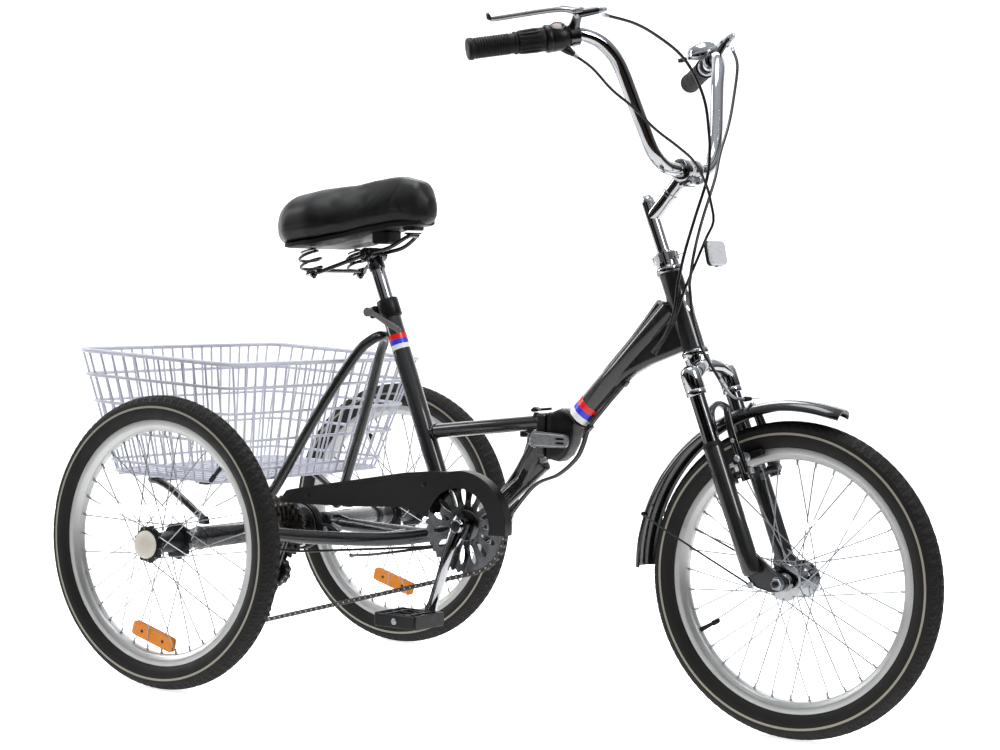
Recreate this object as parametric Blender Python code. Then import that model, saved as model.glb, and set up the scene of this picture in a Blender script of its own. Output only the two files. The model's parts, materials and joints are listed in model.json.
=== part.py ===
"""Adult folding tricycle: one front wheel, two rear wheels, wire basket, six-speed chain drive.

Metres, +Z up, facing +X, the rider's left is +Y. The origin lies on the floor under the centre of the
machine. Points below are counted from the rear axle's place on the floor, and the empty called
tricycle moves them all back by AXLE_TO_ORIGIN.
"""

import math

import bmesh
import bpy
from mathutils import Matrix, Vector

# Driving dimensions
WHEEL_R = 0.247
TYRE_HALF = 0.0225
RIM_R = 0.2093
TRACK = 0.6615
WHEELBASE = 1.0095
AXLE_TO_ORIGIN = 0.49225
CRANK_LENGTH = 0.160
CRANK_BACK = math.radians(17.7)
CHAINRING_TEETH = 40
SPROCKET_TEETH = 20
PULLEY_TEETH = 11
CHAIN_PITCH = 0.0127
CHAIN_Y = -0.050
SPROCKET_Y = -0.034
GUIDE_PULLEY = (0.004, 0.172)
TENSION_PULLEY = (-0.034, 0.100)
SPOKES = 12
GRIP_LENGTH = {-1: 0.074, 1: 0.108}
LEVER_AT = {-1: 0.166, 1: 0.160}
LEVER_REACH = 0.036
BELL_AT = 0.116

# Places that several pieces share
REAR_AXLE = Vector((0, 0, WHEEL_R))
FRONT_AXLE = Vector((WHEELBASE, 0, WHEEL_R))
BB = Vector((0.421, 0, 0.288))
STEER_UP = Vector((-0.367, 0, 0.930)).normalized()
STEER_AHEAD = Vector((STEER_UP.z, 0, -STEER_UP.x))
HEAD_LOW = Vector((0.8255, 0, 0.587))
HEAD_LENGTH = 0.148
SEAT_UP = Vector((-0.371, 0, 0.9286)).normalized()
SEAT_TOP = Vector((0.2095, 0, 0.6555))
HINGE = Vector((0.559, 0.031, 0.445))
LEG_Y = 0.058
LEG_AHEAD = 0.012
Y = Vector((0, 1, 0))
Z = Vector((0, 0, 1))

# Centre lines of the control cables, from the levers down to the steering
FRONT_CABLE = [(0.768, 0.196, 1.090), (0.784, 0.185, 1.062), (0.793, 0.160, 1.010)]
FRONT_CABLE += [(0.801, 0.130, 0.960), (0.812, 0.085, 0.912), (0.828, 0.040, 0.867)]
FRONT_CABLE += [(0.826, 0.004, 0.797), (0.826, -0.018, 0.745), (0.828, -0.032, 0.700)]
FRONT_CABLE += [(0.838, -0.036, 0.650), (0.856, -0.036, 0.600), (0.874, -0.038, 0.575)]
FRONT_CABLE += [(0.894, -0.040, 0.550)]
REAR_CABLE = [(0.758, -0.190, 1.108), (0.776, -0.130, 1.100), (0.790, -0.080, 1.083)]
REAR_CABLE += [(0.806, -0.040, 1.059), (0.818, -0.015, 1.028), (0.829, 0.000, 0.988)]
REAR_CABLE += [(0.835, 0.004, 0.944), (0.838, 0.004, 0.909), (0.836, 0.000, 0.865)]
REAR_CABLE += [(0.824, -0.012, 0.807), (0.815, -0.026, 0.752), (0.806, -0.031, 0.701)]
GEAR_CABLE = [(0.722, -0.217, 1.046), (0.744, -0.200, 1.027), (0.768, -0.180, 0.995)]
GEAR_CABLE += [(0.788, -0.150, 0.970), (0.806, -0.110, 0.938), (0.826, -0.080, 0.915)]
GEAR_CABLE += [(0.838, -0.045, 0.892), (0.846, -0.020, 0.858), (0.850, -0.010, 0.830)]
GEAR_CABLE += [(0.853, -0.005, 0.800), (0.843, -0.008, 0.775)]

FINISHES = {
    "frame_black": ("17181a", 0.28, 0.3),
    "chrome": ("d4d6d8", 0.12, 1.0),
    "aluminium": ("b9babc", 0.35, 1.0),
    "steel": ("8a8c8e", 0.35, 1.0),
    "rubber": ("1b1b1b", 0.8, 0.0),
    "black_plastic": ("151516", 0.5, 0.0),
    "white_wire": ("e9ebf0", 0.35, 0.0),
    "clear_plastic": ("e6e8ea", 0.15, 0.0),
    "cap_plastic": ("cfc9bd", 0.4, 0.0),
    "vinyl": ("1c1c1d", 0.45, 0.0),
}


def pitch_radius(teeth):
    return CHAIN_PITCH / (2 * math.sin(math.pi / teeth))


def steer(up, ahead=0.0, y=0.0):
    """A point counted along the steering axis from the head tube's lower end."""
    return HEAD_LOW + STEER_UP * up + STEER_AHEAD * ahead + Y * y


def seat(up, ahead=0.0, y=0.0):
    """A point counted along the seat tube from its upper end."""
    return SEAT_TOP + SEAT_UP * up + Vector((SEAT_UP.z, 0, -SEAT_UP.x)) * ahead + Y * y


def finish(name):
    """The Principled material of this name, made on its first use."""
    material = bpy.data.materials.get(name)
    if material:
        return material
    material = bpy.data.materials.new(name)
    material.use_nodes = True
    code, roughness, metallic = FINISHES[name]
    rgb = [int(code[i : i + 2], 16) / 255 for i in (0, 2, 4)]
    shader = material.node_tree.nodes["Principled BSDF"]
    shader.inputs["Base Color"].default_value = [c**2.2 for c in rgb] + [1]
    shader.inputs["Roughness"].default_value = roughness
    shader.inputs["Metallic"].default_value = metallic
    return material


def pivot(name, place, parent=None):
    """An empty on a joint's axis, which carries the pieces that turn or slide there."""
    empty = bpy.data.objects.new(name, None)
    bpy.context.scene.collection.objects.link(empty)
    empty.parent = parent or bpy.data.objects.get("tricycle")
    empty["rest"] = list(place)
    empty.location = Vector(place) - (Vector(parent["rest"]) if parent else Vector((0, 0, 0)))
    return empty


def solid(name, bm, look, on, smooth=True):
    """Makes one object from a closed mesh. Its points stay put, whatever empty carries it."""
    bmesh.ops.remove_doubles(bm, verts=bm.verts, dist=1e-7)
    bmesh.ops.recalc_face_normals(bm, faces=bm.faces)
    mesh = bpy.data.meshes.new(name)
    bm.to_mesh(mesh)
    bm.free()
    if smooth:
        mesh.shade_smooth()
        mesh.set_sharp_from_angle(angle=math.radians(32))
    mesh.materials.append(finish(look))
    thing = bpy.data.objects.new(name, mesh)
    bpy.context.scene.collection.objects.link(thing)
    thing.parent = on
    thing.matrix_parent_inverse = Matrix.Translation(-Vector(on["rest"]))
    return thing


def helper(thing):
    thing.hide_render = True
    thing.display_type = "WIRE"
    return thing


def combine(thing, others, operation="UNION"):
    """Welds other solids to this one, or cuts them from it."""
    for other in others:
        boolean = thing.modifiers.new(operation.lower(), "BOOLEAN")
        boolean.operation = operation
        boolean.solver = "EXACT"
        boolean.object = helper(other)
    return thing


def loft(rings, loop=False):
    """A closed mesh through rings of equally many points, capped at both ends or closed on itself."""
    bm = bmesh.new()
    rows = [[bm.verts.new(point) for point in ring] for ring in rings]
    count = len(rows[0])
    for i in range(len(rows) if loop else len(rows) - 1):
        here, there = rows[i], rows[(i + 1) % len(rows)]
        for j in range(count):
            bm.faces.new((here[j], here[(j + 1) % count], there[(j + 1) % count], there[j]))
    if not loop:
        bm.faces.new(rows[0])
        bm.faces.new(rows[-1][::-1])
    return bm


def across(axis):
    """Two unit vectors square to an axis and to each other."""
    side = axis.cross(Y if abs(axis.normalized().y) < 0.9 else Z).normalized()
    return side, axis.normalized().cross(side)


def circle(centre, u, v, radius, count, turn=0.0):
    angles = [turn + 2 * math.pi * i / count for i in range(count)]
    return [centre + (u * math.cos(a) + v * math.sin(a)) * radius for a in angles]


def turned(profile, base, axis, count=24, loop=False, turn=0.0):
    """A turned shape from (height, radius) points along an axis."""
    axis = axis.normalized()
    u, v = across(axis)
    return loft([circle(base + axis * h, u, v, r, count, turn) for h, r in profile], loop)


def rod(start, end, radius, count=12):
    start, end = Vector(start), Vector(end)
    return turned([(0, radius), ((end - start).length, radius)], start, end - start, count)


def sleeve(start, end, outer, inner, count=16):
    start, end = Vector(start), Vector(end)
    length = (end - start).length
    profile = [(0, outer), (length, outer), (length, inner), (0, inner)]
    return turned(profile, start, end - start, count, True)


def smooth_path(points, step):
    """Points every step or so along a Catmull-Rom curve through a few chosen points."""
    points = [Vector(p) for p in points]
    ends = [points[0] * 2 - points[1]] + points + [points[-1] * 2 - points[-2]]
    path = []
    for a, b, c, d in zip(ends, ends[1:], ends[2:], ends[3:]):
        count = max(1, round((c - b).length / step))
        for i in range(count):
            t = i / count
            bend = (2 * a - 5 * b + 4 * c - d) * t * t + (3 * b - a - 3 * c + d) * t**3
            path.append((2 * b + (c - a) * t + bend) / 2)
    return path + [points[-1]]


def pipe(points, radius, count=10):
    """A round bar along a path, its rings carried on without twist."""
    rings = []
    side = None
    for i, point in enumerate(points):
        along = (points[min(i + 1, len(points) - 1)] - points[max(i - 1, 0)]).normalized()
        side = across(along)[0] if side is None else (side - along * side.dot(along)).normalized()
        rings.append(circle(point, side, along.cross(side), radius, count))
    return loft(rings)


def plate(outline, low, high):
    """An (x, z) outline given thickness in Y."""
    return loft([[Vector((x, y, z)) for x, z in outline] for y in (low, high)])


def block(low, high):
    (x0, y0, z0), (x1, y1, z1) = low, high
    return plate([(x0, z0), (x1, z0), (x1, z1), (x0, z1)], y0, y1)


def arc(centre, radius, start, end, count):
    """(x, z) points on an arc, angles in degrees."""
    angles = [math.radians(start + (end - start) * i / count) for i in range(count + 1)]
    return [(centre[0] + radius * math.cos(a), centre[1] + radius * math.sin(a)) for a in angles]


def polar(angle, radius):
    """A step in the wheels' plane, as in a side view."""
    return Vector((math.cos(angle) * radius, 0, math.sin(angle) * radius))


def mirrored(point):
    return Vector((point[0], -point[1], point[2]))


def wheel(side, centre, spin, hub_shape, look_hub):
    """Tyre, rim, and hub laced with spokes. The tyre stands on one flat of its many-sided tread."""
    flats = 32
    half_turn = math.pi / flats
    grow = 1 / math.cos(half_turn)
    tread = [(-0.009, WHEEL_R), (0.009, WHEEL_R), (0.0185, 0.2405), (TYRE_HALF, 0.2265)]
    bead = [(0.016, RIM_R + 0.0015), (-0.016, RIM_R + 0.0015)]
    profile = tread + bead + [(-TYRE_HALF, 0.2265), (-0.0185, 0.2405)]
    profile = [(h, r * grow) for h, r in profile]
    solid(side + "_tyre", turned(profile, centre, Y, flats, True, half_turn), "rubber", spin)
    edge = [(-0.0135, RIM_R), (0.0135, RIM_R), (0.0125, 0.196), (0.006, 0.187)]
    edge += [(-0.006, 0.187), (-0.0125, 0.196)]
    edge = [(h, r * grow) for h, r in edge]
    solid(side + "_rim", turned(edge, centre, Y, flats, True, half_turn), "aluminium", spin)
    flange, barrel, bore, ends = hub_shape
    hub = [(-flange - 0.003, barrel + 0.002), (-flange - 0.003, 0.030), (-flange + 0.003, 0.030)]
    hub += [(-flange + 0.004, barrel), (flange - 0.004, barrel), (flange - 0.003, 0.030)]
    hub += [(flange + 0.003, 0.030), (flange + 0.003, barrel + 0.002)]
    if bore:
        hub = [(-flange - 0.004, bore)] + hub + [(flange + 0.004, bore)]
    else:
        hub = ends[0] + hub + ends[1]
    body = solid(side + "_hub", turned(hub, centre, Y, 18, bool(bore)), look_hub, spin)
    spokes = []
    for i in range(SPOKES):
        angle = 2 * math.pi * i / SPOKES
        lean = angle + (0.31 if i // 2 % 2 else -0.31)
        y = flange if i % 2 else -flange
        inner = centre + polar(lean, 0.0272) + Y * y
        outer = centre + polar(angle, 0.1855)
        spokes.append(solid(f"{side}_spoke_{i}", rod(inner, outer, 0.0013, 4), "steel", spin))
    combine(body, spokes)


def make_wheels(front_spin, axle_body, left_body):
    """The front wheel and the two rear ones, whose hubs have a closed cap on the outside."""
    wheel("front", FRONT_AXLE, front_spin, (0.031, 0.014, 0.0056, None), "aluminium")
    for side, sign, on in (("rear_right", -1, axle_body), ("rear_left", 1, left_body)):
        centre = REAR_AXLE + Y * sign * TRACK / 2
        cap = [(0.055, 0.004), (0.053, 0.016), (0.046, 0.022), (0.036, 0.0235)]
        outside = [(h * sign, r) for h, r in cap]
        inside = [(-0.041 * sign, 0.0175)]
        ends = (outside, inside) if sign < 0 else (inside, outside[::-1])
        wheel(side, centre, on, (0.034, 0.0185, 0, ends), "black_plastic")


def make_rear_frame(root):
    """The welded rear half: seat tube, main tubes, bracket shell, lower tubes, axle housings."""
    solid("seat_tube", sleeve(seat(-0.400), SEAT_TOP, 0.0162, 0.0130, 20), "frame_black", root)
    solid("top_tube", rod((0.3180, 0, 0.4371), (0.5395, 0, 0.4658), 0.0122, 14), "frame_black", root)
    down = pipe([Vector((0.4445, 0, 0.3135)), Vector((0.541, 0, 0.3985))], 0.015, 16)
    solid("down_tube", down, "frame_black", root)
    bracket = sleeve(BB - Y * 0.034, BB + Y * 0.034, 0.0205, 0.0165, 20)
    shell = solid("rear_carrier", bracket, "frame_black", root)
    welded = []
    for sign in (-1, 1):
        route = [(0.406, 0.015, 0.280), (0.330, 0.024, 0.262), (0.250, 0.055, 0.250)]
        route += [(0.120, 0.092, 0.246), (0.014, 0.104, 0.247)]
        path = smooth_path([(x, y * sign, z) for x, y, z in route], 0.055)
        welded.append(solid(f"lower_{sign}", pipe(path, 0.012, 10), "frame_black", root))
        inner, outer = Y * sign * 0.092, Y * sign * 0.288
        housing = sleeve(REAR_AXLE + inner, REAR_AXLE + outer, 0.019, 0.0100, 16)
        welded.append(solid(f"housing_{sign}", housing, "frame_black", root))
    combine(shell, welded)
    route = [(0.012, -0.117, 0.2790), (0.045, -0.100, 0.323), (0.115, -0.068, 0.460)]
    route += [(0.168, -0.036, 0.560), (0.190, -0.020, 0.588), (0.2010, 0, 0.597)]
    route += [mirrored(p) for p in route[-2::-1]]
    solid("seat_stays", pipe(smooth_path(route, 0.036), 0.009, 8), "frame_black", root)
    route = [(-0.026, 0.200, 0.2735), (-0.105, 0.200, 0.3215), (-0.138, 0.200, 0.3335)]
    route += [(-0.150, 0.185, 0.3345), (-0.150, 0.0, 0.3345)]
    route += [mirrored(p) for p in route[-2::-1]]
    solid("rack_hoop", pipe(smooth_path(route, 0.030), 0.0065, 8), "frame_black", root)


def make_hinge(root, front):
    """The frame's folding joint: rear plate with its pin knuckles, front plate, and the latch."""
    rear = block((0.5420, -0.026, 0.408), (0.5575, 0.0215, 0.482))
    rear = solid("hinge_plate_rear", rear, "frame_black", root)
    pin = rod(HINGE - Z * 0.044, HINGE + Z * 0.044, 0.0045, 12)
    parts = [solid("hinge_pin", pin, "steel", root)]
    for low, high, foot in ((-0.037, -0.014, 0.408), (0.014, 0.037, 0.459)):
        knuckle = rod(HINGE + Z * low, HINGE + Z * high, 0.0085, 12)
        parts.append(solid("knuckle", knuckle, "frame_black", root))
        ear = block((0.5440, 0.020, foot), (0.5565, 0.030, foot + 0.023))
        parts.append(solid("ear", ear, "frame_black", root))
    combine(rear, parts)
    nose = [(0.5605, 0.406), (0.5605, 0.484), (0.575, 0.490), (0.596, 0.486)]
    nose += [(0.606, 0.462), (0.598, 0.412), (0.583, 0.402)]
    face = solid("hinge_plate_front", plate(nose, -0.024, 0.021), "frame_black", front)
    knuckle = sleeve(HINGE - Z * 0.0135, HINGE + Z * 0.0135, 0.0085, 0.0050, 12)
    link = block((0.5658, 0.018, 0.432), (0.5750, 0.0315, 0.458))
    parts = [solid("middle_ear", link, "frame_black", front)]
    parts.append(solid("middle_knuckle", knuckle, "frame_black", front))
    combine(face, parts)


def make_latch(latch):
    """The lever that clamps the folding joint shut."""
    outline = [(0.538, 0.428), (0.552, 0.426), (0.604, 0.429), (0.610, 0.437)]
    outline += [(0.604, 0.449), (0.552, 0.452), (0.538, 0.450)]
    solid("latch_lever", plate(outline, -0.0355, -0.0300), "aluminium", latch)


def make_front_frame(front):
    """The main beam with its gusset, and the head tube."""
    start, end = Vector((0.6085, 0, 0.4745)), Vector((0.7690, 0, 0.6490))
    beam = solid("main_beam", rod(start, end, 0.0205, 20), "frame_black", front)
    outline = [(0.7050, 0.5800), (0.7960, 0.6075), (0.7590, 0.7010), (0.7150, 0.6120)]
    web = solid("beam_web", plate(outline, -0.013, 0.013), "frame_black", front)
    combine(beam, [web])
    profile = [(0, 0.0215), (0.009, 0.0215), (0.011, 0.0185), (0.137, 0.0185)]
    profile += [(0.139, 0.0215), (HEAD_LENGTH, 0.0215), (HEAD_LENGTH, 0.0152), (0, 0.0152)]
    solid("head_tube", turned(profile, HEAD_LOW, STEER_UP, 24, True), "frame_black", front)


def make_fork(fork, lowers):
    """The sprung fork: steerer, crown and inner legs are one piece, the outer legs another."""
    column = [(-0.016, 0.0208), (-0.004, 0.0208), (-0.003, 0.0144), (0.1495, 0.0144)]
    column += [(0.1505, 0.0190), (0.172, 0.0190), (0.172, 0.0114), (-0.016, 0.0114)]
    crown = solid("fork_crown", turned(column, HEAD_LOW, STEER_UP, 20, True), "chrome", fork)
    rise = [(-0.046, -LEG_Y), (-0.030, -0.048), (-0.020, -0.024), (-0.018, 0)]
    rise += [(up, -y) for up, y in rise[-2::-1]]
    bridge = pipe([steer(up - 0.006, LEG_AHEAD, y) for up, y in rise], 0.0125, 12)
    parts = [solid("crown_bridge", bridge, "chrome", fork)]
    for sign in (-1, 1):
        leg = [(-0.240, 0.0122), (-0.068, 0.0122), (-0.066, 0.0160), (-0.024, 0.0160)]
        leg.append((-0.018, 0.010))
        base = steer(0, LEG_AHEAD, sign * LEG_Y)
        parts.append(solid(f"inner_leg_{sign}", turned(leg, base, STEER_UP, 16), "chrome", fork))
    combine(crown, parts)
    shapes = []
    for sign in (-1, 1):
        base = steer(0, LEG_AHEAD, sign * LEG_Y)
        cup = [(-0.357, 0.012), (-0.352, 0.0155), (-0.152, 0.0155), (-0.152, 0.0130)]
        cup = turned(cup + [(-0.300, 0.0130)], base, STEER_UP, 16)
        shapes.append(solid(f"outer_leg_{sign}", cup, "frame_black", lowers))
        tip = [(0.955, 0.300), (0.946, 0.262), (0.968, 0.238), (1.004, 0.232)]
        tip += [(1.0235, 0.240), (1.0235, 0.256), (1.004, 0.264)]
        low, high = sorted((sign * 0.0525, sign * 0.0465))
        shapes.append(solid(f"axle_end_{sign}", plate(tip, low, high), "frame_black", lowers))
        boss = FRONT_AXLE + STEER_UP * 0.178 + Y * sign * 0.046
        stub = rod(boss - STEER_AHEAD * 0.0232, boss - STEER_AHEAD * 0.0082, 0.006, 10)
        shapes.append(solid(f"boss_{sign}", stub, "frame_black", lowers))
    arch = [(-0.172, -0.0395), (-0.120, -0.0385), (-0.095, -0.028), (-0.084, 0)]
    arch += [(up, -y) for up, y in arch[-2::-1]]
    arch = smooth_path([steer(up, LEG_AHEAD, y) for up, y in arch], 0.020)
    outer = combine(solid("fork_lowers", pipe(arch, 0.0042, 8), "frame_black", lowers), shapes)
    hole = rod(FRONT_AXLE - Y * 0.08, FRONT_AXLE + Y * 0.08, 0.0053, 12)
    combine(outer, [solid("axle_hole", hole, "steel", lowers)], "DIFFERENCE")
    axle = [(-0.0665, 0.004), (-0.0665, 0.0048), (-0.0610, 0.0048), (-0.0610, 0.0095)]
    axle += [(-0.0530, 0.0095), (-0.0530, 0.0048)]
    axle += [(-h, r) for h, r in axle[::-1]]
    solid("front_axle", turned(axle, FRONT_AXLE, Y, 12), "steel", lowers)


def make_mudguard(lowers):
    """A curved channel over the front tyre."""
    section = [(-0.027, 0.2665), (-0.021, 0.2755), (0, 0.2790), (0.021, 0.2755), (0.027, 0.2665)]
    section += [(y, r - 0.0022) for y, r in section[::-1]]
    rings = []
    steps = 20
    for i in range(steps + 1):
        a = math.radians(74 + 106 * i / steps)
        rings.append([FRONT_AXLE + polar(a, r) + Y * y for y, r in section])
    solid("front_mudguard", loft(rings), "frame_black", lowers)


def make_front_brake(right, left):
    """The two brake arms, each with its pad."""
    for name, sign, on in (("v_brake_arm_right", -1, right), ("v_brake_arm_left", 1, left)):
        pivot_at = FRONT_AXLE + STEER_UP * 0.178 + Y * sign * 0.046
        route = [(-0.010, 0.046), (0.012, 0.049), (0.060, 0.050), (0.102, 0.045)]
        path = [FRONT_AXLE + STEER_UP * (0.178 + up) + Y * sign * y for up, y in route]
        arm = solid(name, pipe(path, 0.0065, 8), "black_plastic", on)
        pad_at = FRONT_AXLE + STEER_UP * 0.202
        bolt = rod(pad_at + Y * sign * 0.050, pad_at + Y * sign * 0.0235, 0.003, 8)
        pad = [solid("pad_bolt", bolt, "steel", on)]
        brick = block((-0.026, -0.0045, -0.005), (0.026, 0.0045, 0.005))
        lean = Matrix.Rotation(-math.atan2(STEER_AHEAD.z, STEER_AHEAD.x), 3, "Y")
        bmesh.ops.rotate(brick, verts=brick.verts, matrix=lean)
        bmesh.ops.translate(brick, verts=brick.verts, vec=pad_at + Y * sign * 0.0215)
        pad.append(solid("pad", brick, "rubber", on))
        boss = rod(pivot_at - STEER_AHEAD * 0.0075, pivot_at + STEER_AHEAD * 0.010, 0.0085, 10)
        pad.append(solid("arm_boss", boss, "steel", on))
        combine(arm, pad)


def make_bars(fork):
    """The quill stem and the handlebar it clamps."""
    quill = [(0.115, 0.0108), (0.250, 0.0108), (0.262, 0.0108), (0.268, 0.007)]
    stem = solid("quill_stem", turned(quill, HEAD_LOW, STEER_UP, 16), "chrome", fork)
    arm = rod((0.7440, 0, 0.8120), (0.7935, 0, 0.8720), 0.0115, 12)
    arm = solid("stem_arm", arm, "chrome", fork)
    clamp = rod((0.800, -0.0225, 0.880), (0.800, 0.0225, 0.880), 0.0185, 20)
    combine(stem, [arm, solid("stem_clamp", clamp, "chrome", fork)])
    hole = rod((0.800, -0.03, 0.880), (0.800, 0.03, 0.880), 0.0116, 20)
    combine(stem, [solid("stem_hole", hole, "chrome", fork)], "DIFFERENCE")
    solid("handlebar", pipe(smooth_path(handlebar_route(), 0.030), 0.0111, 9), "chrome", fork)


def handlebar_route():
    """The bar's centre line from the right grip to the left one."""
    outer, along = bar_frame(-1)
    right = [outer + along * d for d in (0.006, 0.060, 0.120, 0.155, 0.175)]
    right += [(0.7455, -0.1880, 1.0700), (0.7575, -0.1700, 1.0540), (0.7655, -0.152, 1.030)]
    right += [(0.775, -0.135, 0.990), (0.785, -0.117, 0.946), (0.7925, -0.096, 0.906)]
    right += [(0.7975, -0.068, 0.885), (0.800, -0.035, 0.880), (0.800, 0, 0.880)]
    return right + [mirrored(p) for p in right[-2::-1]]


def bar_frame(sign):
    """The straight hand grip on one side: its outer end, and its direction inwards."""
    outer, inner = Vector((0.609, sign * 0.335, 1.0482)), Vector((0.712, sign * 0.228, 1.0735))
    return outer, (inner - outer).normalized()


def lever_root(sign):
    """A brake lever's pivot, with the grip's direction and the direction out to the lever."""
    outer, along = bar_frame(sign)
    out = (Y * sign - along * along.dot(Y * sign)).normalized() * 0.6 + Z * 0.8
    out = (out - along * out.dot(along)).normalized()
    return outer + along * LEVER_AT[sign] + out * LEVER_REACH, along, out


def make_lever(side, sign, fork, lever_body):
    """A grip, the brake lever's bracket and its blade."""
    outer, along = bar_frame(sign)
    root_at, _, out = lever_root(sign)
    length, at = GRIP_LENGTH[sign], LEVER_AT[sign]
    profile = [(-0.003, 0.0165), (0.002, 0.0170), (length - 0.004, 0.0160), (length, 0.0175)]
    profile += [(length, 0.0117), (0.0020, 0.0117)]
    solid(f"grip_{side}", turned(profile, outer, along, 16), "rubber", fork)
    ring = sleeve(outer + along * (at - 0.010), outer + along * (at + 0.006), 0.0165, 0.0117, 16)
    bracket = solid(f"lever_bracket_{side}", ring, "black_plastic", fork)
    arm = rod(outer + along * (at - 0.002) + out * 0.0145, root_at, 0.0060, 10)
    combine(bracket, [solid("bracket_arm", arm, "black_plastic", fork)])
    tip = outer + along * 0.030 + out * 0.050
    first = root_at + out * 0.0085
    path = [first + along * 0.012, first - along * 0.010, first - along * 0.055 + out * 0.004]
    path = smooth_path(path + [tip + along * 0.012, tip], 0.02)
    solid(f"brake_lever_{side}", pipe(path, 0.0050, 8), "aluminium", lever_body)


def make_controls(fork, shift, levers, bell_hinge):
    """Grips, brake levers, twist shifter and bell."""
    make_lever("right", -1, fork, levers[-1])
    make_lever("left", 1, fork, levers[1])
    outer, along = bar_frame(-1)
    twist = sleeve(outer + along * 0.0750, outer + along * 0.1180, 0.0185, 0.0117, 20)
    solid("twist_shifter", twist, "rubber", shift)
    case = sleeve(outer + along * 0.1185, outer + along * 0.1550, 0.0215, 0.0117, 20)
    solid("shifter_housing", case, "black_plastic", fork)
    outer, along = bar_frame(1)
    spot = outer + along * BELL_AT
    ring = sleeve(spot - along * 0.005, spot + along * 0.005, 0.0150, 0.0117, 12)
    bell = solid("bell", ring, "chrome", fork)
    up = bell_up()
    base = spot + up * 0.0135
    dome = [(-0.0005, 0.006), (0.006, 0.007), (0.008, 0.0265), (0.014, 0.0275), (0.022, 0.024)]
    dome = turned(dome + [(0.028, 0.015), (0.030, 0.006)], base, up, 20)
    combine(bell, [solid("bell_dome", dome, "chrome", fork)])
    out = up.cross(Vector((0.75, -0.66, 0))).normalized()
    thumb = base + up * 0.0100 - out * 0.0300
    tab = rod(thumb, thumb - out * 0.0150 + up * 0.002, 0.0030, 8)
    solid("bell_lever", tab, "black_plastic", bell_hinge)


def bell_up():
    """The bell's axis: upright, leaning back towards the rider."""
    return Vector((-0.25, -0.25, 0.94)).normalized()


def make_reflector(fork):
    """The front reflector on its strip from the headset."""
    lens = block((-0.0055, -0.026, -0.020), (0.0055, 0.026, 0.020))
    bmesh.ops.rotate(lens, verts=lens.verts, matrix=Matrix.Rotation(math.radians(-12), 3, "Y"))
    bmesh.ops.translate(lens, verts=lens.verts, vec=(0.856, 0, 0.750))
    lens = solid("front_reflector", lens, "clear_plastic", fork)
    strip = rod((0.7845, 0, 0.7445), (0.853, 0, 0.7515), 0.0022, 8)
    combine(lens, [solid("reflector_arm", strip, "chrome", fork)])


def make_saddle(seat_body, top_body):
    """The seat post, the saddle's wire frame with its two springs, and the cushion."""
    post = [(-0.150, 0.0126), (0.0660, 0.0126), (0.0680, 0.0105), (0.0820, 0.0105)]
    solid("seat_post", turned(post, SEAT_TOP, SEAT_UP, 20), "chrome", seat_body)
    head = seat(0.087)
    clamp = rod(head - Y * 0.021, head + Y * 0.021, 0.0130, 16)
    clamp = solid("saddle_frame", clamp, "black_plastic", seat_body)
    cut = turned([(0.05, 0.0110), (0.0825, 0.0110)], SEAT_TOP, SEAT_UP, 20)
    rails = []
    for sign in (-1, 1):
        route = [(0.262, 0.014, 0.7740), (0.225, 0.019, 0.752), (0.178, 0.0205, 0.7370)]
        route += [(0.130, 0.045, 0.716), (0.112, 0.062, 0.708)]
        path = smooth_path([(x, y * sign, z) for x, y, z in route], 0.025)
        rails.append(solid(f"rail_{sign}", pipe(path, 0.0038, 8), "steel", seat_body))
        low = Vector((0.098, sign * 0.066, 0.7035))
        spring = rod(low, low + Vector((-0.012, 0, 0.036)), 0.0170, 12)
        rails.append(solid(f"spring_{sign}", spring, "steel", seat_body))
    nose = rod((0.262, -0.018, 0.7740), (0.262, 0.018, 0.7740), 0.0050, 8)
    bar = rod((0.104, -0.066, 0.707), (0.104, 0.066, 0.707), 0.0038, 8)
    rails.append(solid("rail_nose", nose, "steel", seat_body))
    rails.append(solid("rail_bar", bar, "steel", seat_body))
    combine(clamp, rails)
    combine(clamp, [solid("post_room", cut, "steel", seat_body)], "DIFFERENCE")
    rings = []
    lines = [(0.006, 0.012, 0.755, 0.792), (0.020, 0.075, 0.7480, 0.828)]
    lines += [(0.055, 0.104, 0.7470, 0.842), (0.105, 0.106, 0.7530, 0.848)]
    lines += [(0.155, 0.083, 0.7640, 0.852), (0.200, 0.055, 0.7790, 0.861)]
    lines += [(0.245, 0.041, 0.7870, 0.868), (0.285, 0.036, 0.7900, 0.858)]
    lines.append((0.308, 0.014, 0.8000, 0.826))
    for x, half, low, high in lines:
        ring = []
        for i in range(12):
            a = 2 * math.pi * i / 12
            c, s = math.cos(a), math.sin(a)
            c = math.copysign(abs(c) ** 0.75, c)
            s = math.copysign(abs(s) ** 0.8, s)
            ring.append(Vector((x, half * c, (low + high) / 2 + (high - low) / 2 * s)))
        rings.append(ring)
    solid("saddle_cushion", loft(rings), "vinyl", top_body)


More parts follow.
